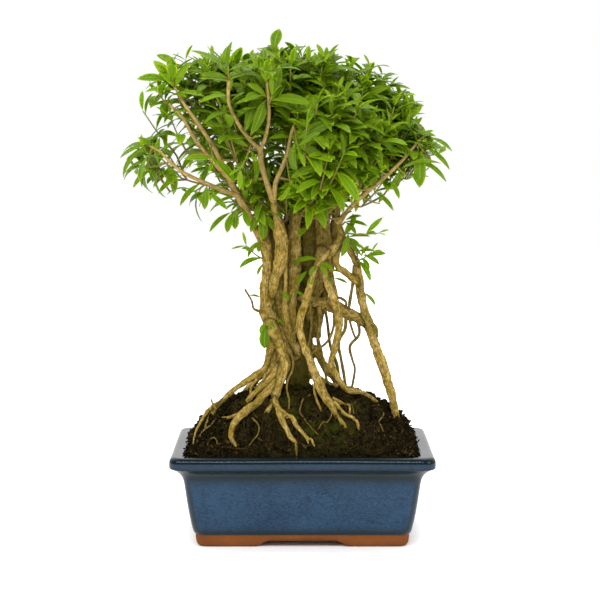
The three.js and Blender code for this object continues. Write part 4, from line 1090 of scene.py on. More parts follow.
lying_low = np.concatenate([smooth_route(route, SOIL_ROOT_STEP) for route in thick_roots.values()])
lying_low = lying_low[lying_low[:, 2] < soil_top(lying_low[:, 0], lying_low[:, 1]) + LOW_ROOT]
root_footprint = [
    *((x, y, LOW_ROOT_WIDTH * radius) for x, y, _, radius in lying_low),
    *((x, y, radius + BESIDE_ROOT) for curve in creeping_curves for x, y, _, radius in curve)]
crumbs("soil_crumbs", 11, 5100, 1.05, (1, 0.8, 0.7), reach=1.04, lift=0.3)
crumbs("bark_chips", 12, 1900, 2.0, (1.35, 0.5, 0.22), reach=1.06, lift=0.8)
crumbs("leaf_litter", 13, 260, 3.0, (1.2, 0.55, 0.12), reach=0.9, lift=0.6, shoulders=True)


def hair_roots(name, seed, count):
    """Fibres as three-sided tubes: p + s d + FIBRE_WAVE L sin(a s) n, laid on the soil."""
    rng = np.random.default_rng(seed)
    where = scatter(rng, count, 1.0)[:, None]
    length = rng.uniform(*FIBRE_LENGTH, (count, 1))
    heading = rng.uniform(0, 2 * np.pi, (count, 1))
    s = np.linspace(0, 1, FIBRE_POINTS)[None]
    bends, phase = rng.uniform(*FIBRE_BENDS, (count, 1)), rng.uniform(0, 6, (count, 1))
    wave = FIBRE_WAVE * length * np.sin(s * bends + phase)
    x = where[..., 0] + s * length * np.cos(heading) - wave * np.sin(heading)
    y = where[..., 1] + s * length * np.sin(heading) + wave * np.cos(heading)
    x, y = (np.clip(value, FIBRE_INSET - reach, reach - FIBRE_INSET)
            for value, reach in zip((x, y), SOIL_REACH))
    above, hop = FIBRE_ABOVE
    z = soil_top(x, y) + above + hop * np.sin(s * rng.uniform(*FIBRE_HOPS, (count, 1))) ** 2
    radius = rng.uniform(*FIBRE_RADIUS, (count, 1)) + 0 * s
    made = joined_tubes(name, [tube(curve, 3) for curve in np.stack([x, y, z, radius], axis=-1)])
    made.data.materials.append(two_tone(
        "root_fibre", shaded(FIBRE_RED, 0.3), FIBRE_RED, 90.0, 5.0, 0.8, 0.1))
    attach(made, "root")


hair_roots("hair_roots", 21, 420)


# Limbs and twigs
# The branches of the crown, light tan near the trunks and thinner and greener towards the leaves.
# A leafy shoot that doesn't start on a limb is fed by a twig from wood near it, mostly lower down.
LIMBS = {
    "left": [(-27, -6, 215, 3.2), (-33, -8, 232, 2.9), (-43, -11, 252, 2.6), (-51, -14, 266, 2.3),
             (-57, -20, 280, 2.1), (-67, -34, 302, 1.7), (-79, -46, 321, 1.4), (-88, -50, 334, 1.2),
             (-95, -46, 346, 1)],
    "left_outer": [(-56, -18, 277, 1.8), (-77, -30, 302, 1.5), (-84, -38, 313, 1.3), (-89, -42, 323, 1.2),
                   (-100, -40, 334, 1)],
    "left_up": [(-56, -18, 277, 1.9), (-65, -20, 298, 1.6), (-74, -24, 312, 1.4), (-86, -28, 326, 1.2)],
    "left_low": [(-49, -13, 264, 1.9), (-67, -30, 272, 1.6), (-88, -42, 282, 1.4), (-98, -46, 290, 1.2),
                 (-106, -46, 298, 1), (-115, -40, 303, 0.9)],
    "arm_left": [(-22, -16, 260, 2.5), (-28, -25, 277, 2.2), (-31, -34, 289, 2.1), (-32, -44, 300, 2),
                 (-39, -51, 307, 1.6), (-49, -61, 322, 1.4), (-54, -67, 335, 1.3), (-54, -72, 351, 1.2)],
    "arm_middle": [(-32, -42, 298, 1.6), (-28, -50, 308, 1.4), (-25, -59, 322, 1.3), (-25, -66, 338, 1.2),
                   (-26, -70, 350, 1)],
    "arm_right": [(-22, -16, 260, 2.1), (-20, -24, 275, 1.9), (-15, -33, 287, 1.7), (-11, -43, 298, 1.5),
                  (-9, -51, 309, 1.3), (-6, -57, 318, 1.2)],
    "middle": [(-6, 4, 250, 3), (-5, 2, 276, 2.5), (-2, 0, 300, 2.1), (-5, -4, 330, 1.6),
               (-12, -10, 350, 1.3)],
    "right": [(13, 8, 262, 4), (17, 5, 279, 2.8), (23, 1, 292, 2.2), (32, -4, 306, 1.7),
              (40, -8, 324, 1.4)],
    "right_out": [(27, -5, 242, 2.2), (36, -14, 254, 1.9), (45, -22, 264, 1.7), (61, -34, 278, 1.5),
                  (77, -38, 294, 1.2), (88, -34, 307, 1)],
    "front_right_up": [(27, -2, 268, 2.4), (29, -14, 284, 1.9), (32, -30, 296, 1.5), (33, -42, 308, 1.3)],
    "right_up": [(18, 6, 276, 2.6), (34, 8, 290, 2), (50, 8, 304, 1.6), (60, 6, 318, 1.3)],
    "back_left": [(-23, 16, 256, 2.8), (-33, 24, 276, 2.3), (-46, 32, 294, 1.8), (-60, 38, 310, 1.4)],
    "back": [(4, 22, 256, 3), (1, 30, 278, 2.4), (-4, 40, 298, 1.9), (-8, 48, 316, 1.4)],
    "back_right": [(26, 14, 256, 2.8), (34, 24, 276, 2.2), (42, 36, 294, 1.7), (50, 42, 308, 1.4)],
}

# The limbs that show in front of the leaves, and the tips that the largest leafy shoots reach: those
# of the crown's outline, of its face and low on the trunks, as x, y, z in millimetres.
SHOWN_LIMBS = ("left", "left_outer", "left_low", "arm_left", "arm_middle", "arm_right", "right_out")
TIPS = [
    (-140, -38, 291), (-137, 8, 316), (-135, -10, 338), (-108, -20, 376), (-80, -10, 373),
    (-58, 10, 378), (-18, -20, 394), (24, 0, 378), (60, 6, 371), (86, 0, 350),
    (95, 2, 331), (101, -20, 316), (117, -30, 302), (113, -22, 276), (92, -30, 270), (76, 4, 254),
    (-74, -34, 258), (-96, -4, 262), (-124, -34, 270), (-20, 22, 384),
]
FACE_TIPS = [
    (-98, -52, 332), (-62, -70, 350), (-24, -82, 352), (14, -84, 346), (49, -72, 346), (76, -50, 326),
    (-76, -68, 300), (-40, -90, 318), (-2, -94, 310), (38, -86, 308), (70, -62, 290),
    (-50, -72, 276), (-8, -76, 280), (32, -70, 268), (-36, -50, 374), (18, -46, 376),
]
TOP_TIPS = [(44, 8, 380), (58, -4, 374), (68, -10, 366), (82, -8, 356), (92, -14, 338), (-96, -14, 378)]
LOW_TWIGS = [((29, -8, 236), (58, -22, 236)), ((-28, -7, 214), (-43, -18, 226)),
             ((-26, -10, 162), (-36, -17, 141))]
BACK_SHIFT = 9.0
CROWN_DEPTH_CENTRE = 4.0
CROWN_HEART = np.array([-12.0, 0.0, 250.0])
CROWN_FLOOR = 238
CROWN_ROOF = 381
WAIST_MIDDLE = -12
WAIST_HEIGHT = 320
WAIST_REACH = 104
STEM_LENGTH = 38.0
TIP_REACH = 16.0
HANGING_TIP = 277.0
HANGING_REACH = 14.0
THIN_SIDE = -84.0
THIN_SHARE = 0.45
SHOWN_RADIUS = 1.15
IN_FRONT_OF_LIMB = 7
NEW_SHOOT_REACH = 10
STEM_SAMPLES = 6
OUTLINE_SIDE_MARGIN = (1.06, 1, 1)
OUTLINE_TOP_MARGIN = (0, 0, 4)
END_SHOOT = 11
# Limbs are painted paler from this height up, over this rise: light in the crown, and younger bark.
LIT_BARK_ABOVE = 240
LIT_BARK_OVER = 30

# Twigs: no arm carries one below BARE_BELOW. The costs weigh a turn into the shoot and wood that
# lies above an upright shoot's foot.
BARE_BELOW = 276.0
LOWEST_TWIG = 248.0
TWIG_RADIUS = 0.68
TWIG_END = 4.0
TURN_COST = 0.7
RISE_COST = 1.5
BELOW_FOOT = 4
TWIG_SAG = 0.02
ON_WOOD = 0.01
TWIG_BROWN = (0.27, 0.18, 0.045)
SHOOT_GREEN = (0.2, 0.25, 0.02)


def seeded_draws(seed):
    """A repeatable stream of numbers between 0 and 1: state * 16807 mod (2^31 - 1)."""
    state = seed
    while True:
        state = state * 16807 % 2147483647
        yield state / 2147483647


def back_tips():
    """Tips of the crown's back: those of its face mirrored in depth and shifted a little."""
    shifts = ((draw - 0.5) * 2 * BACK_SHIFT for draw in seeded_draws(1213))
    return [(x + next(shifts), 2 * CROWN_DEPTH_CENTRE - y + next(shifts) * 0.5, z + next(shifts) * 0.6)
            for x, y, z in FACE_TIPS]


def shoot_toward(tip, length, reach, rise):
    """Foot and end of a shoot whose leaves reach the tip.

    It points outwards from the heart of the crown and upwards: unit(outward + rise * up).
    """
    outward = unit(np.array(tip) - CROWN_HEART)
    end = np.array(tip) - reach * outward
    return end - length * unit(outward + (0, 0, rise)), end


def shoot_from_limb(tip):
    """Foot and end of a shoot that hangs off the nearest limb, its leaves reaching the tip."""
    foot = limb_points[np.linalg.norm(limb_points - tip, axis=1).argmin()]
    away = tip - foot
    return foot, tip - min(HANGING_REACH, 0.5 * np.linalg.norm(away)) * unit(away)


def crown_floor(x):
    """Height of the crown's underside at x. It rises by 0.7 beyond x = 33 and by 0.5 beyond -57."""
    return CROWN_FLOOR + 0.7 * np.clip(x - 33, 0, None) + 0.5 * np.clip(-57 - x, 0, None)


def crown_roof(x):
    """Height of the crown's top at x: CROWN_ROOF - 0.007 * max(0, x - 15)^2."""
    return CROWN_ROOF - 0.007 * np.clip(x - 15, 0, None) ** 2


def hides_limb(foot, end):
    """Whether a stem hides a shown limb from the front, or starts close to the crown's floor.

    It hides one if it lies in front of it and less than its radius + IN_FRONT_OF_LIMB beside it.
    """
    stem = foot + np.linspace(0, 1, STEM_SAMPLES)[:, None] * (end - foot)
    beside = np.hypot(stem[:, None, 0] - shown_wood[:, 0], stem[:, None, 2] - shown_wood[:, 2])
    hides = (beside < shown_wood[:, 3] + IN_FRONT_OF_LIMB) & (stem[:, None, 1] < shown_wood[:, 1])
    return hides.any() or foot[2] < crown_floor(foot[0]) + 3


def main_shoot(tip):
    """Foot and end of one of the largest shoots, which starts on a shown limb if it would hide one."""
    if tip[2] < HANGING_TIP:
        return shoot_from_limb(tip)
    foot, end = shoot_toward(tip, STEM_LENGTH, TIP_REACH, 0.5)
    if not hides_limb(foot, end) and foot[2] > crown_floor(foot[0]) + 14:
        return foot, end
    far = np.linalg.norm(shown_wood[:, :3] - end, axis=1)
    return shown_wood[np.where(far > NEW_SHOOT_REACH, far, np.inf).argmin(), :3], end


shown_routes = [*(LIMBS[name] for name in SHOWN_LIMBS), TRUNKS["front_left"][:4]]
shown_wood = np.concatenate([smooth_route(route, 2.0) for route in shown_routes])
shown_wood = shown_wood[shown_wood[:, 3] > SHOWN_RADIUS]
limb_points = np.concatenate([smooth_route(route, 3.0)[:, :3] for route in LIMBS.values()])
crown_tips = np.array([*TIPS, *FACE_TIPS, *back_tips()], dtype=float)
main_shoots = [main_shoot(tip) for tip in crown_tips]
low_shoots = np.array(LOW_TWIGS, dtype=float)


def filling_tips(seed, count, nearer, further, lowest):
    """Tips between neighbouring crown tips: a random point between two, drawn towards the heart.

    tip = heart + k * (a + t (b - a) - heart), b one of the five nearest to a, t in 0.25 to 0.75.
    The share kept grows from none at lowest + half the depth beyond 10 mm to all 60 mm higher, and
    is THIN_SHARE of that on the left, where the crown is thin. None is kept close to the floor.
    """
    rng = np.random.default_rng(seed)
    apart = np.linalg.norm(crown_tips[:, None] - crown_tips, axis=-1)
    neighbours = apart.argsort(axis=1)[:, 1:6]
    a = rng.integers(len(crown_tips), size=6 * count)
    b = neighbours[a, rng.integers(5, size=6 * count)]
    t = rng.uniform(0.25, 0.75, (6 * count, 1))
    k = rng.uniform(nearer, further, (6 * count, 1))
    tips = CROWN_HEART + k * (crown_tips[a] + t * (crown_tips[b] - crown_tips[a]) - CROWN_HEART)
    x, y, z = tips.T
    chance = (z - lowest - 0.5 * np.clip(np.abs(y - CROWN_DEPTH_CENTRE) - 10, 0, 60)) / 60
    chance = chance * np.where(x < THIN_SIDE, THIN_SHARE, 1.0)
    kept = (rng.uniform(0, 1, len(tips)) < chance) & (z > crown_floor(x) + 14)
    return tips[kept][:count]


def in_outline(place, below):
    """Whether places lie in the crown: above its floor, under its roof and inside its waist.

    The waist is |x - middle| * (1 + 0.24 * (y / 60)^2) < reach + 1.2 * |z - height|, so it is
    rounded off to the front and back. A place may lie as far as below under the floor.
    """
    x, y, z = np.moveaxis(place, -1, 0)
    aside = np.abs(x - WAIST_MIDDLE) * (1 + 0.24 * (y / 60) ** 2)
    waist = aside < WAIST_REACH + 1.2 * np.abs(z - WAIST_HEIGHT)
    return (z > crown_floor(x) - below) & (z < crown_roof(x)) & waist


def skirt_tips(seed, count):
    """Tips spread over the crown's underside, 14 to 45 mm above crown_floor and higher in depth."""
    rng = np.random.default_rng(seed)
    x, y = rng.uniform(-80, 74, count), rng.uniform(-52, 60, count)
    z = crown_floor(x) + rng.uniform(14, 45, count) + 0.25 * np.abs(y - CROWN_DEPTH_CENTRE)
    return np.stack([x, y, z], axis=-1)


def top_tips(seed, count):
    """Tips all over the top of the crown, 7 to 17 mm under its roof and lower in front and behind."""
    rng = np.random.default_rng(seed)
    x, y = rng.uniform(-104, 84, count), rng.uniform(-44, 50, count)
    z = crown_roof(x) - 2 - rng.uniform(5, 15, count)
    return np.stack([x, y, z - 0.006 * (y - CROWN_DEPTH_CENTRE) ** 2], axis=-1)


def face_tips(seed, count):
    """Tips over the lower face of the crown in front, 262 to 335 mm high and 30 to 75 mm forward."""
    rng = np.random.default_rng(seed)
    x, z = rng.uniform(-66, 68, count), rng.uniform(262, 335, count)
    y = -30 - 45 * (z - 262) / 73 * rng.uniform(0.5, 1.0, count)
    return np.stack([x, y, z], axis=-1)


def shoots_toward(tips, length, reach, rise):
    """Shoots well inside the crown's outline whose leaves reach the tips and that hide no limb."""
    shoots = [shoot_toward(tip, length, reach, rise) for tip in tips]
    return [(foot, end) for foot, end in shoots if not hides_limb(foot, end)
            and in_outline(end * OUTLINE_SIDE_MARGIN + OUTLINE_TOP_MARGIN, 0)]


outer_shoots = shoots_toward([*TOP_TIPS, *filling_tips(5, 185, 0.88, 1.02, 265.0)], 28.0, 13.0, 1.0)
limb_ends = [(np.array(LIMBS[name][-1][:3]), np.array(LIMBS[name][-2][:3])) for name in SHOWN_LIMBS]
end_shoots = [(end, end + END_SHOOT * unit(end - before)) for end, before in limb_ends]
top_shoots = shoots_toward(top_tips(10, 40), 24.0, 10.0, 1.6)
inner_shoots = shoots_toward(filling_tips(6, 72, 0.55, 0.83, 258.0), 24.0, 12.0, 0.8)
skirt_shoots = shoots_toward(skirt_tips(8, 80), 18.0, 10.0, 0.3)
face_shoots = shoots_toward(face_tips(9, 64), 20.0, 11.0, 0.5)


def feeding_twigs(shoots):
    """Twigs from the wood to each shoot's foot, the shoots nearest to the wood first.

    The wood chosen has the least distance * (1 + TURN_COST * (1 - cos of the turn into the shoot)),
    plus RISE_COST times what it lies above a place BELOW_FOOT under an upright shoot's foot. A
    twig's middle and end count as wood for the next ones.
    """
    wood = [tuple(point) for name, route in LIMBS.items() for point in smooth_route(route, 7.0)[1:]
            if point[2] > BARE_BELOW or not name.startswith("arm")]
    wood += [point for name, route in TRUNKS.items() for point in route
             if point[2] > LOWEST_TWIG and name != "front_left"]

    def cheapest(foot, end):
        """The wood from which a twig to that shoot costs least, as x, y, z and radius."""
        places = np.array(wood)
        offset = foot - places[:, :3]
        far = np.linalg.norm(offset, axis=1)
        turn = 1 - offset @ unit(end - foot) / np.maximum(far, 0.1)
        above = np.clip(places[:, 2] - foot[2] + BELOW_FOOT, 0, None) * (end[2] > foot[2])
        return wood[int((far * (1 + TURN_COST * turn) + RISE_COST * above).argmin())]

    far = [np.linalg.norm(np.array(cheapest(foot, end)[:3]) - foot) for foot, end in shoots]
    twigs = []
    for number in np.argsort(far, kind="stable"):
        foot, end = shoots[number]
        start = cheapest(foot, end)
        length = np.linalg.norm(np.array(start[:3]) - foot)
        before = foot - TWIG_END * unit(end - foot)
        middle = (np.array(start[:3]) + before) / 2
        wood.extend([(*middle, TWIG_RADIUS), (*before, TWIG_RADIUS)])
        sag = middle - (0, 0, TWIG_SAG * length)
        twigs.append([(*start[:3], min(start[3] * 0.85, 1.2 + 0.01 * length)), (*sag, 1.15 * TWIG_RADIUS),
                      (*before, TWIG_RADIUS), (*foot, 0.95 * TWIG_RADIUS)])
    return twigs


def twig_material():
    """Brown young bark that turns green towards the leaves, uneven in tone."""
    made, tree, shader, _ = new_material("twig_bark", 0.6, 0.3)
    grain = attribute_of(tree, "grain")["Vector"]
    young = attribute_of(tree, "young")["Fac"]
    tone = mottled(tree, grain, 260.0, 4.0)
    colour = blend_colours(tree, tone["Mask"], shaded(TWIG_BROWN, 0.55), TWIG_BROWN)
    tree.links.new(blend_colours(tree, young, colour, SHOOT_GREEN), shader.inputs["Base Color"])
    raise_surface(tree, shader, tone["Mask"], 0.4, 0.0003)
    return made


limbs = joined_tubes("limbs", [tube(smooth_route(route, 2.5), 10, 0.08, 300 + number)
                               for number, route in enumerate(LIMBS.values())])
# Painted light: the limbs' bark goes paler up in the crown.
limb_heights = point_values(limbs.data, "co")[:, 2] / MM
add_attribute(limbs.data, "fresh_and_lit_bark", np.clip((limb_heights - LIT_BARK_ABOVE) / LIT_BARK_OVER, 0, 1))
limbs.data.materials.append(bark)
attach(limbs, "root")
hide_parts("trunk_and_roots")

twig_finish = twig_material()
wood_places = np.concatenate([limb_points, shown_wood[:, :3]])
upright_shoots = [(foot, end) for foot, end in main_shoots
                  if np.linalg.norm(wood_places - foot, axis=1).min() > ON_WOOD]
twig_routes = feeding_twigs([
    *upright_shoots, *outer_shoots, *top_shoots, *inner_shoots, *skirt_shoots, *face_shoots])
twigs = joined_tubes("twigs", [tube(smooth_route(route, 5.0), 6) for route in twig_routes])
twigs.data.materials.append(twig_finish)
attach(twigs, "root")
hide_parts("trunk_and_roots")


# Leafy shoots
# Green shoots with small leathery leaves in opposite pairs, each pair turned from the last, and a
# tuft at the tip. A leaf is narrow, pointed at both ends, folded along its midrib and arched down.
LEAF_LENGTH = 30.5
LEAF_WIDTH = 7.1
LEAF_LIMITS = (np.array(cad_box) - POT_MIDDLE) / MM + np.array([[-2.0], [2.0]])
LEAF_LIFT = (0, 0, 0.34)
LIGHT_ON_CROWN = (0, -0.3, 0.85)
LIGHT_LOW_DOWN = (0, -0.8, 0.85)
ALONG_AXIS = 0.45
TURN_PER_PAIR = 1.45
STEM_RADII = (0.75, 0.6, 0.45)
LOW_SCALE = 0.75
HANGING_BELOW = 6.0
FIRST_PAIR = 0.6
PAIR_LEANS = np.array([1.35, 1.3, 1.2, 1.1, 0.9, 0.5])
PAIR_SIZES = np.array([0.88, 0.98, 1.02, 1.0, 0.85, 0.5])
LEAF_STATIONS = 8
LEAF_THICKNESS = 0.35
LEAF_SHADE_SPREAD = (0.12, 0.09)
LEAN_SPREAD = 0.16
TURN_SPREAD = 0.25
ROLL_SPREAD = 0.28
PLACE_SPREAD = 0.03
LENGTH_RANGE = (0.74, 1.14)
WIDTH_RANGE = (0.85, 1.25)
ARCH_RANGE = (0.6, 1.35)
FOLD_RANGE = (0.12, 0.4)
PLACED_ARCH = 0.8
PLACED_FOLD = 0.25
TUFT_ABOVE = 0.95
TUFT_PALER = 0.25
STEM_SAG = 1.5
SHORTEST_STEM = 0.2
LIMB_MARGIN = 1.0
LEAF_SWELL, LEAF_TAPER = 1.15, 0.9
LEAF_PEAK = 0.56 ** LEAF_SWELL * 0.44 ** LEAF_TAPER
LEAF_SIDE = np.array([-1.0, -0.5, 0.0, 0.5, 1.0, 0.0])
LEAF_GREEN = (0.089, 0.163, 0.002)
# Young leaf green, also used as painted light on the inner and low shoots.
LEAF_YOUNG_AND_LIT = (0.16, 0.255, 0.005)
LEAF_DEEP = (0.074, 0.129, 0.001)
LEAF_RIB = (0.22, 0.34, 0.03)
LEAF_UNDER = (0.15, 0.24, 0.012)
LEAF_GLOW = {"Subsurface Weight": 0.7, "Subsurface Radius": (1.0, 1.4, 0.2), "Subsurface Scale": 0.0013}

# Leaves set one by one, as root x, y, z, direction x, y, z, length and width in millimetres, and
# the thin twigs that some of them sit on, as x, y, z, radius.
HANGING_LEAVES = [
    (-28, -13, 165, -0.15, -0.25, -1, 20, 8.5), (-27, -13, 167, -0.7, -0.4, -0.6, 11, 4.5),
    (-25, -14, 168, 0.4, -0.6, -0.8, 10, 4),
]
SMALL_TWIG = ((40, -7, 213), (53, -14, 221))
BARE_TWIGS = [
    [(30, -8, 233, 1), (38, -12, 225, 0.8), (46, -14, 218, 0.6)], [(29, -7, 240, 1), (33, -10, 244, 0.7)],
    [(-29, -7, 224, 0.9), (-34, -9, 229, 0.6)], [(-44, -12, 253, 1), (-54, -20, 252, 0.7)],
]
SINGLE_LEAVES = [
    (-30, -9, 228, -0.8, -0.8, -0.1, 12, 4), (-30, -9, 212, -0.7, -0.3, -0.8, 11, 3),
    (-41, -20, 188, 1, -0.2, 0.2, 9, 3.2), (-21, -14, 170, 0.9, -0.3, -0.3, 9, 3),
    (47.5, -7, 189, 0.85, -0.2, -0.5, 14, 4.2), (13, -20, 215, -1, -0.1, 0.4, 17, 5),
    (11, -21, 212, -0.6, -0.5, -0.5, 11, 4), (13, -21, 212, 0.5, -0.6, -0.4, 12, 4.5),
    (8, -21, 205, -0.3, -0.6, -0.8, 10, 4), (13, -20, 214, 0.9, -0.4, -0.2, 13, 4.6),
    (4, -10, 240, -0.5, -0.7, -0.2, 13, 4.6),
    (46, -14, 219, 1, -0.2, -0.2, 16, 6.2), (45, -14, 217, 0.8, -0.3, -0.7, 12, 5),
    (45, -14, 218, -0.45, -0.2, 0.9, 11, 3.6), (45, -13, 218, 0.45, 0.1, 0.9, 11, 3.6),
    (42, -13, 221, 0.9, -0.3, 0.4, 14, 4.2), (35, -10, 232, 1, -0.2, 0.4, 18, 4.6),
    (34, -10, 232, 0.9, -0.4, -0.3, 14, 4.6), (33, -10, 233, 0.2, -0.3, 1, 12, 4),
    (33, -10, 244, 1, -0.2, 0.15, 18, 5), (33, -10, 245, 0.9, 0, 0.6, 14, 4.5),
    (33, -10, 244, 0.8, -0.4, -0.5, 13, 4.6), (31, -9, 246, 0.3, -0.6, 0.8, 12, 4.4),
    (-34, -9, 229, -0.8, -0.2, -0.7, 16, 4.4), (-34, -9, 229, 0.1, -0.5, -1, 9, 3.4),
    (-54, -20, 252, -0.9, -0.2, -0.4, 24, 6), (-53, -20, 252, -0.5, -0.4, -1, 17, 6.4),
    (-50, -17, 253, -0.2, -0.4, -1, 15, 6), (-46, -14, 254, 0.5, -0.6, -0.8, 15, 6),
    (-31, -12, 250, 0.1, -0.5, -1, 21, 7.6), (-30, -12, 250, 0.7, -0.5, -0.6, 17, 6),
    (-31, -12, 251, -0.7, -0.5, -0.7, 18, 6.4), (-29, -12, 252, 0.8, -0.5, 0.1, 17, 5.4),
    (6, -7, 214, -1, -0.3, 0.2, 16, 5), (4, -7, 206, -0.8, -0.3, -0.6, 15, 5.5),
    (8, -7, 204, -0.3, -0.5, -1, 14, 5.5), (14, -8, 204, 0.8, -0.4, -0.4, 13, 5),
    (22, -7, 206, 1, -0.3, 0.2, 12, 4), (24, -6, 200, 1, -0.3, 0, 12, 3.6),
    (-16, -14, 191, 0.6, -0.3, -0.5, 10, 4), (-9, -13, 191, 1, -0.2, -0.05, 12, 3.6),
    (-22, -20, 374, 0.15, -0.1, 1, 18.5, 9), (-95, -10, 361, -0.65, 0, 0.76, 21, 9),
    (-20, -24, 350, -0.35, -0.3, 0.9, 19, 8),
    (95, -32, 309, 1, -0.1, -0.2, 22, 6), (91, -33, 302, 0.85, -0.15, -0.35, 28, 6.5),
    (86, -35, 293, 0.85, -0.15, -0.3, 30, 6.5), (80, -37, 284, 0.7, -0.2, -0.6, 16, 5),
    (65, -35, 277, 0.6, -0.2, -0.6, 17, 5), (54, -28, 268, 0.8, -0.2, -0.4, 22, 5.5),
    (89, -34, 310, 0.8, -0.2, 0.7, 11, 4), (-112, -42, 286, -0.8, -0.2, -0.4, 22, 6),
    (-90, -42, 281, -0.85, -0.2, -0.3, 24, 6.5), (-76, -36, 275, -0.8, -0.2, -0.45, 25, 6.5),
    (-72, -34, 273, -0.15, -0.4, -0.9, 19, 6), (-117, -40, 303, -1, 0, -0.1, 24, 6.5),
    (-112, -42, 302, -0.7, -0.1, 0.8, 14, 5),
]
ARM_LEAVES = [
    (-95, -46, 345, -0.4, -0.15, 0.95, 28, 10), (-95, -46, 345, 0.25, -0.3, 0.9, 24, 8),
    (-94, -46, 344, -1, -0.2, 0.3, 24, 7), (-93, -47, 342, 0.9, -0.3, 0.2, 22, 6.5),
    (-27, -71, 349, 0.05, -0.3, 1, 17, 8), (-26, -68, 338, -0.6, -0.3, 0.85, 19, 8),
    (-25, -62, 325, -0.5, -0.4, 0.8, 15, 8), (-27, -68, 338, -1, -0.2, 0.15, 24, 6),
    (-24, -66, 335, 0.85, -0.2, 0.55, 22, 6), (-54, -72, 351, 0.85, -0.2, 0.6, 22, 6),
    (-54, -72, 350, -0.8, -0.3, 0.4, 22, 6), (-54, -69, 340, -0.9, -0.3, 0.1, 24, 6),
    (-6, -57, 319, 1, -0.2, 0.35, 30, 7), (-7, -57, 319, -0.5, -0.3, 0.9, 24, 7),
    (-6, -56, 317, 0.9, -0.3, 0.1, 24, 6), (-9, -52, 310, 1, -0.2, 0.3, 20, 6),
    (-9, -52, 309, -0.9, -0.3, 0.3, 16, 6), (-11, -44, 300, 0.9, -0.3, 0.25, 27, 7),
    (-15, -35, 288, 0.9, -0.3, -0.1, 32, 7), (-40, -52, 308, -0.9, -0.4, 0.3, 24, 6.5),
]


def leaf_material():
    """Leaf green that varies from leaf to leaf, brighter where painted light lifts the crown's shade,
    with a pale midrib, faint veins and a dull underside.
    """
    made, tree, shader, _ = new_material("leaf", 0.42, 0.1)
    for label, value in LEAF_GLOW.items():
        shader.inputs[label].default_value = value
    given = attribute_of(tree, "blade")["Vector"]
    blade = shader_node(tree, "ShaderNodeSeparateXYZ", Vector=given).outputs
    side = calculated(tree, "ABSOLUTE", blade["X"])
    slanted = calculated(tree, "MULTIPLY_ADD", side, -0.16, blade["Y"])
    veins = calculated(tree, "SINE", spread(tree, slanted, 0.0, 1.0, 0.0, 60.0))
    vein_lines = spread(tree, veins, 0.7, 1.0)
    rib = spread(tree, side, 0.03, 0.14, 1.0, 0.0)
    colour = layered(
        tree, LEAF_DEEP, (blade["Z"], 0.0, 0.5, 0.0, 1.0, LEAF_GREEN),
        (blade["Z"], 0.5, 1.0, 0.0, 1.0, LEAF_YOUNG_AND_LIT), (vein_lines, 0.0, 1.0, 0.0, 0.16, LEAF_RIB),
        (rib, 0.0, 1.0, 0.0, 0.55, LEAF_RIB),
        (attribute_of(tree, "underside")["Fac"], 0.05, 0.3, 0.0, 0.7, LEAF_UNDER))
    tree.links.new(colour, shader.inputs["Base Color"])
    raise_surface(tree, shader, vein_lines, 0.15, 0.0002)
    return made


def leaf_blades(root, direction, up, length, width, arch, fold, tone):
    """Leaves as closed blades, all at once. Each is N arrays of one row for each leaf.

    Along u the midrib bends down in an arc: L (sin(k u) / k) d - L ((1 - cos(k u)) / k) n. The half
    width is w / 2 u^swell (1 - u)^taper / peak, and both halves rise from the midrib by
    fold * half width * |v| (1.4 - |v|). A ring has five points on top and one under the midrib.
    Returns the points, their blade vectors (v, u, tone) and which of them are on the underside.
    """
    side = unit(np.cross(direction, up))
    normal = np.cross(side, direction)
    u = (np.linspace(0, 1, LEAF_STATIONS + 2)[1:-1] ** 0.95)[None, :, None]
    k = arch[:, None, None]
    forward = length[:, None, None] * np.sin(k * u) / k
    fall = length[:, None, None] * (1 - np.cos(k * u)) / k
    half = width[:, None, None] / 2 * u ** LEAF_SWELL * (1 - u) ** LEAF_TAPER / LEAF_PEAK
    v = LEAF_SIDE[None, None, :]
    rise = fold[:, None, None] * half * np.abs(v) * (1.4 - np.abs(v))
    rise = rise - LEAF_THICKNESS * (np.arange(6) == 5) * np.clip(8 * u * (1 - u), 0, 1)
    local_normal = (normal[:, None, None] * np.cos(k * u)[..., None]
                    + direction[:, None, None] * np.sin(k * u)[..., None])
    rings = (root[:, None, None] + direction[:, None, None] * forward[..., None]
             - normal[:, None, None] * fall[..., None] + side[:, None, None] * (half * v)[..., None]
             + local_normal * rise[..., None])
    last = (root + direction * (length * np.sin(arch) / arch)[:, None]
            - normal * (length * (1 - np.cos(arch)) / arch)[:, None])
    points = np.concatenate([rings.reshape(len(root), -1, 3), root[:, None], last[:, None]], axis=1)
    blade = np.zeros_like(points)
    blade[:, :-2, 0] = np.tile(LEAF_SIDE, LEAF_STATIONS)
    blade[:, :-2, 1] = np.repeat(u.ravel(), 6)
    blade[:, -1, 1] = 1
    blade[:, :, 2] = tone[:, None]
    under = np.zeros(points.shape[:2])
    under[:, :-2] = np.tile(np.arange(6) == 5, LEAF_STATIONS)
    return points, blade, under


def leaf_faces(count):
    """Quads and end triangles of count leaves of LEAF_STATIONS rings of six points and two ends."""
    size = 6 * LEAF_STATIONS + 2
    ring = np.arange(6 * LEAF_STATIONS).reshape(LEAF_STATIONS, 6)
    after = np.roll(ring, -1, axis=1)
    quads = np.stack([ring[:-1], ring[1:], after[1:], after[:-1]], axis=-1).reshape(-1, 4)
    caps = np.concatenate([
        np.stack([ring[0], after[0], np.full(6, size - 2)], axis=-1),
        np.stack([after[-1], ring[-1], np.full(6, size - 1)], axis=-1)])
    shift = size * np.arange(count)[:, None, None]
    return (quads + shift).reshape(-1, 4), (caps + shift).reshape(-1, 3)


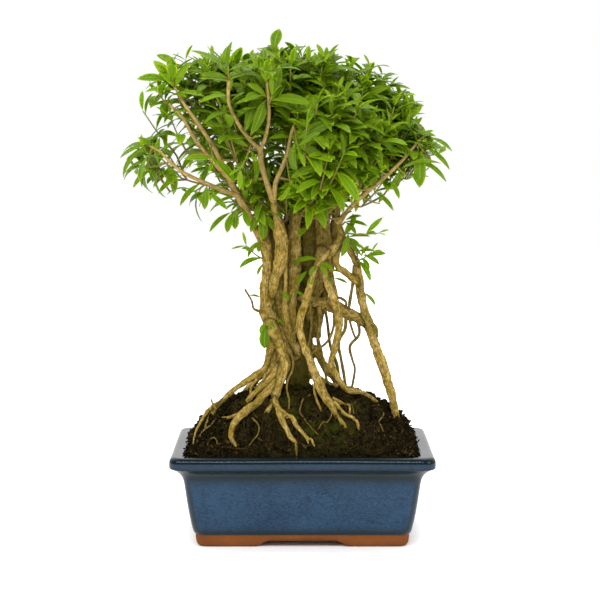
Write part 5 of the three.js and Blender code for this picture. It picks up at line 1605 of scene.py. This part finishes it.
def staying(points, below):
    """Which leaves stay: those inside the limits and, in the crown, in its outline and clear.

    In the crown, below is how far they may hang under its floor. A leaf is clear if none of its
    midrib is in front of a shown limb, within its radius + LIMB_MARGIN as seen from the front.
    """
    stay = ((points > LEAF_LIMITS[0]) & (points < LEAF_LIMITS[1])).all(axis=(1, 2))
    if below is not None:
        stay &= in_outline(points, below).all(axis=1)
        midribs = points[:, 2::6]
        for x, y, z, radius in shown_wood:
            apart = np.hypot(midribs[..., 0] - x, midribs[..., 2] - z)
            stay &= ~((apart < radius + LIMB_MARGIN) & (midribs[..., 1] < y + LIMB_MARGIN)).any(axis=1)
    return stay


def leaves_piece(name, blades, stems):
    """One mesh of leaves, given as leaf_blades gives them, and of green stems, given as tubes.

    The middle point of a stem's end takes its grain from the first point of the ring round it.
    """
    points, blade, under = blades
    quads, caps = leaf_faces(len(points))
    of_leaves = points.shape[0] * points.shape[1]
    stem_points, stem_quads, stem_caps, grains = merged_tubes(stems, of_leaves)
    of_stems = sum(map(len, stem_points))
    for (_, grain), placed in zip(stems, grains):
        placed[-2:] = grain[0, 0], grain[-1, 0]
    young = [0.1 + 0.75 * grain[:, 2] / grain[:, 2].max() for grain in grains]
    made = mesh_object(
        name, np.concatenate([points.reshape(-1, 3), *stem_points]) * MM + POT_MIDDLE,
        np.concatenate([quads, *stem_quads]), np.concatenate([caps, *stem_caps]),
        blade=np.concatenate([blade.reshape(-1, 3), np.zeros((of_stems, 3))]),
        underside=np.append(under, np.zeros(of_stems)),
        grain=np.concatenate([np.zeros((of_leaves, 3)), *grains]) * MM,
        young=np.concatenate([np.zeros(of_leaves), *young]))
    made.data.materials.append(leaf_finish)
    made.data.materials.append(twig_finish)
    counts = [len(quads), sum(map(len, stem_quads)), len(caps), sum(map(len, stem_caps))]
    made.data.polygons.foreach_set("material_index", np.repeat([0, 1, 0, 1], counts).astype(np.int32))
    sharpen_blade_edges(made.data, points.shape[0], points.shape[1])
    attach(made, "root")
    return made


def placed_leaves(rows, tones=(0.15, 0.5)):
    """Leaves from rows of root, direction, length and width, faces up and a little to the front.

    Their tone goes from the first of tones to the second along the list.
    """
    rows = np.array(rows, dtype=float)
    count = len(rows)
    up = np.tile(unit(np.array([0.0, -0.6, 1.0])), (count, 1))
    return leaf_blades(rows[:, :3], unit(rows[:, 3:6]), up, rows[:, 6], rows[:, 7],
                       np.full(count, PLACED_ARCH), np.full(count, PLACED_FOLD),
                       np.linspace(*tones, count))


def leafy_shoots(name, shoots, seed, pairs, scale=1.0, below=0.0, tone=0.42):
    """Shoots with their leaves as one mesh: thin green stems, and pairs of leaves closer at the tip.

    Pair k of n, counted from the tip, stands at the share 1 - (k / (n - FIRST_PAIR))^1.25 of the
    stem. A leaf's direction is the stem's axis leaned out by its pair's angle, then lifted by
    LEAF_LIFT. Its upper face looks along the axis, upwards and to the light in front, and rolls to
    either side. A stem ends at its last leaf that stays. If none would stay, the tufts do.
    """
    rng = np.random.default_rng(seed)
    feet, ends = (np.array(side) for side in zip(*shoots))
    axis = unit(ends - feet)
    sideways = unit(np.cross((0.0, 0.0, 1.0), axis))
    other = np.cross(axis, sideways)
    from_tip = np.arange(pairs)[::-1] / (pairs - FIRST_PAIR)
    share, lean, size = (np.repeat(plan, 2) for plan in (
        1 - from_tip ** 1.25, PAIR_LEANS[-pairs:], PAIR_SIZES[-pairs:]))
    shape = (len(shoots), 2 * pairs)
    turn = np.repeat(TURN_PER_PAIR * np.arange(pairs), 2) + np.pi * (np.arange(2 * pairs) % 2)
    lean = lean + rng.normal(0, LEAN_SPREAD, shape)
    turn = turn + 0.35 + rng.uniform(0, 2 * np.pi, (len(shoots), 1)) + rng.normal(0, TURN_SPREAD, shape)
    around = sideways[:, None] * np.cos(turn)[..., None] + other[:, None] * np.sin(turn)[..., None]
    direction = unit(axis[:, None] * np.cos(lean)[..., None] + around * np.sin(lean)[..., None])
    direction = unit(direction + LEAF_LIFT)
    to_light = LIGHT_LOW_DOWN if below is None else LIGHT_ON_CROWN
    up = unit((ALONG_AXIS * axis + to_light)[:, None] + rng.normal(0, ROLL_SPREAD, (*shape, 3)))
    along = rng.uniform(-PLACE_SPREAD, PLACE_SPREAD, (len(shoots), 1))
    place = share + along * (share < TUFT_ABOVE)
    sag = STEM_SAG * 4 * place * (1 - place)
    root = feet[:, None] + place[..., None] * (ends - feet)[:, None] - (0, 0, 0.7) * sag[..., None]
    length = scale * LEAF_LENGTH * size * rng.uniform(*LENGTH_RANGE, shape)
    width = length * LEAF_WIDTH / LEAF_LENGTH * rng.uniform(*WIDTH_RANGE, shape)
    of_leaf, of_shoot = LEAF_SHADE_SPREAD
    shade = np.clip(rng.normal(tone, of_leaf, shape) + rng.normal(0, of_shoot, (len(shoots), 1))
                    + TUFT_PALER * (share > TUFT_ABOVE), 0, 1)
    count = shape[0] * shape[1]
    blades = leaf_blades(
        root.reshape(-1, 3), direction.reshape(-1, 3), up.reshape(-1, 3), length.ravel(), width.ravel(),
        rng.uniform(*ARCH_RANGE, count) * np.tile(1.2 - 0.6 * share ** 6, len(shoots)),
        rng.uniform(*FOLD_RANGE, count), shade.ravel())
    stay = staying(blades[0], below).reshape(shape)
    stay = stay | (not stay.any()) & (share > 0.8)
    stems = []
    for foot, end, reach in zip(feet, ends, (place * stay).max(axis=1)):
        if reach > SHORTEST_STEM:
            middle = (foot + end) / 2 - (0, 0, STEM_SAG)
            route = [(*spot, radius) for spot, radius in zip((foot, middle, end), STEM_RADII)]
            curve = smooth_route(route, 4.0)
            stems.append(tube(curve[:max(2, 1 + round(reach * (len(curve) - 1)))], 6))
    return leaves_piece(name, [part[stay.ravel()] for part in blades], stems)


def sharpen_blade_edges(mesh, leaves, size):
    """Marks the two margins of each blade as sharp: the edges between points 0 or 4 of two rings."""
    ends = edge_ends(mesh)
    in_leaf = (ends < leaves * size).all(axis=1)
    place = ends % size
    on_ring = (place < size - 2).all(axis=1)
    margin = np.isin(place % 6, (0, 4)).all(axis=1) & (place[:, 0] % 6 == place[:, 1] % 6)
    layer = mesh.attributes.new("sharp_edge", "BOOLEAN", "EDGE")
    layer.data.foreach_set("value", in_leaf & on_ring & margin)


leaf_finish = leaf_material()
stem_nodes = sorted(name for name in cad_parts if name.startswith("leafy_stem"))
for number, (node, shoot) in enumerate(zip(stem_nodes, [*main_shoots, *low_shoots])):
    on_trunk = number >= len(main_shoots)
    hanging = not on_trunk and crown_tips[number][2] < HANGING_TIP
    leaf_pairs = 3 if on_trunk or hanging else 6
    shoot_name = node.replace("stem", "shoot")
    if number == len(main_shoots) + 2:
        fine_shoot = leaves_piece(shoot_name, placed_leaves(HANGING_LEAVES), [])
    else:
        below = None if on_trunk else HANGING_BELOW if hanging else 0.0
        fine_shoot = leafy_shoots(shoot_name, [shoot], 500 + number, leaf_pairs,
                                  LOW_SCALE if on_trunk else 1.0, below)
    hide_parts(node)
leafy_shoots("filling_shoots_outer", outer_shoots, 701, 5)
leafy_shoots("limb_end_shoots", end_shoots, 705, 5)
leafy_shoots("filling_shoots_top", top_shoots, 707, 5, 0.9)
# The inner and low shoots get brighter leaf tones as painted light, which lifts the shade deep in the
# crown.
leafy_shoots("filling_shoots_inner", inner_shoots, 702, 4, 0.95, tone=0.9)
leafy_shoots("filling_shoots_low", skirt_shoots, 704, 4, 0.92, tone=0.65)
leafy_shoots("filling_shoots_face", face_shoots, 706, 4, 0.98, tone=0.45)
leafy_shoots("small_leafy_twigs", [np.array(SMALL_TWIG, dtype=float)], 703, 3, 0.7, below=None)
bare_stems = [tube(smooth_route(route, 2.0), 6) for route in BARE_TWIGS]
leaves_piece("single_leaves", placed_leaves(SINGLE_LEAVES), bare_stems)
leaves_piece("arm_leaves", placed_leaves(ARM_LEAVES, (0.95, 0.6)), [])


# Studio
# A white sweep lit softly from all round, with a large lamp high on the left in front, a wide flat
# one over the camera that shows as a line on the pot's lip, and two weaker ones on the right and
# behind. The camera is that of the photograph: 114.5 mm, 1.48 m away and tilted 5.7 degrees down.
# The sweep glows with painted light where the camera sees it, fading out near the pot's foot, so the only
# shadow on it lies at the foot.
CAMERA_PLACE = np.array([-1.84, -1475.0, 329.1]) * MM
CAMERA_PITCH = 0.099
CAMERA_LENS = 114.5
CLIP_START = 0.05
SWEEP_WHITES = ((0.93, 0.93, 0.93), (0.95, 0.95, 0.95))
SWEEP_SIZE = 6.0
SWEEP_PAINTED_LIGHT = 0.77
PAINTED_LIGHT_REACH = 0.028
FOOT_REACH = (0.08, 0.074, 1.0)
WORLD_FILL = 1.18
FRONT_DIMMED = 0.18
LAMP_TARGET = (0, 0, 0.2)

# Each lamp's place from the middle of the pot's foot, width, height and power.
LAMPS = {
    "lamp_left": ((-1.3, -1.3, 1.6), 0.9, 0.9, 12),
    "lamp_front": ((-0.35, -1.9, 1.5), 1.6, 0.25, 21),
    "lamp_right": ((1.5, -1.0, 1.0), 1.0, 1.0, 8),
    "lamp_top": ((0.2, 0.7, 1.8), 1.0, 1.0, 4),
}


def sweep_material():
    """White sheet that glows with painted light where the camera sees it, but not under the pot.

    The painted light grows with the distance d to the pot's foot, as 1 - exp(-d / its reach).
    """
    made, tree, shader, place = new_material("sweep", 0.9, 0.1)
    tone = mottled(tree, place, 3.0, 4.0)
    tree.links.new(blend_colours(tree, tone["Mask"], *SWEEP_WHITES), shader.inputs["Base Color"])
    seen = tree.nodes.new("ShaderNodeLightPath").outputs["Is Camera Ray"]
    outward = vector_result(tree, "ABSOLUTE", vector_result(tree, "SUBTRACT", place, tuple(POT_MIDDLE)))
    beyond = vector_result(tree, "SUBTRACT", outward, FOOT_REACH)
    beyond = vector_result(tree, "MAXIMUM", beyond, (0.0, 0.0, 0.0))
    away = shader_node(tree, "ShaderNodeVectorMath", {"operation": "LENGTH"},
                       input_0=beyond).outputs["Value"]
    fading = calculated(tree, "EXPONENT", calculated(tree, "MULTIPLY", away, -1 / PAINTED_LIGHT_REACH))
    painted_light = calculated(tree, "MULTIPLY", seen, spread(tree, fading, 0.0, 1.0, SWEEP_PAINTED_LIGHT, 0.0))
    tree.links.new(painted_light, shader.inputs["Emission Strength"])
    shader.inputs["Emission Color"].default_value = (1, 1, 1, 1)
    return made


def studio_world():
    """White all round to the camera. Its light is stronger and its reflection is dim in front."""
    made = bpy.data.worlds.new("studio")
    made.use_nodes = True
    tree = made.node_tree
    rays = tree.nodes.new("ShaderNodeLightPath").outputs
    side = shader_node(tree, "ShaderNodeSeparateXYZ",
                       Vector=tree.nodes.new("ShaderNodeTexCoord").outputs["Generated"]).outputs
    mirrored = spread(tree, side["Y"], -0.1, 0.75, FRONT_DIMMED, 1.0)
    white = tree.nodes["Background"]
    white.inputs["Color"].default_value = (1, 1, 1, 1)
    strength = 1.0
    for ray, value in (("Is Diffuse Ray", WORLD_FILL), ("Is Glossy Ray", mirrored)):
        strength = shader_node(tree, "ShaderNodeMix", input_0=rays[ray], input_2=strength,
                               input_3=value).outputs[0]
    tree.links.new(strength, white.inputs["Strength"])
    return made


def soft_lamp(name, place, width, height, power):
    """An area lamp that looks at the tree."""
    data = bpy.data.lights.new(name, "AREA")
    data.shape = "RECTANGLE"
    data.size = width
    data.size_y = height
    data.energy = power
    lamp = bpy.data.objects.new(name, data)
    lamp.location = np.array(place) + POT_MIDDLE
    look = Vector(LAMP_TARGET) - Vector(place)
    lamp.rotation_euler = look.to_track_quat("-Z", "Y").to_euler()
    bpy.context.scene.collection.objects.link(lamp)


sweep_corners = np.array([(-1, -1, 0), (1, -1, 0), (1, 1, 0), (-1, 1, 0)]) * SWEEP_SIZE / 2
sweep = mesh_object("sweep", sweep_corners, [(0, 1, 2, 3)])
sweep.data.materials.append(sweep_material())

bpy.context.scene.world = studio_world()
for lamp_name, settings in LAMPS.items():
    soft_lamp(lamp_name, *settings)

camera = bpy.data.objects.new("camera", bpy.data.cameras.new("camera"))
camera.data.lens = CAMERA_LENS
camera.data.clip_start = CLIP_START
camera.location = CAMERA_PLACE + POT_MIDDLE
camera.rotation_euler = (np.pi / 2 - CAMERA_PITCH, 0, 0)
bpy.context.scene.collection.objects.link(camera)
bpy.context.scene.camera = camera
bpy.context.scene.view_settings.view_transform = "Standard"
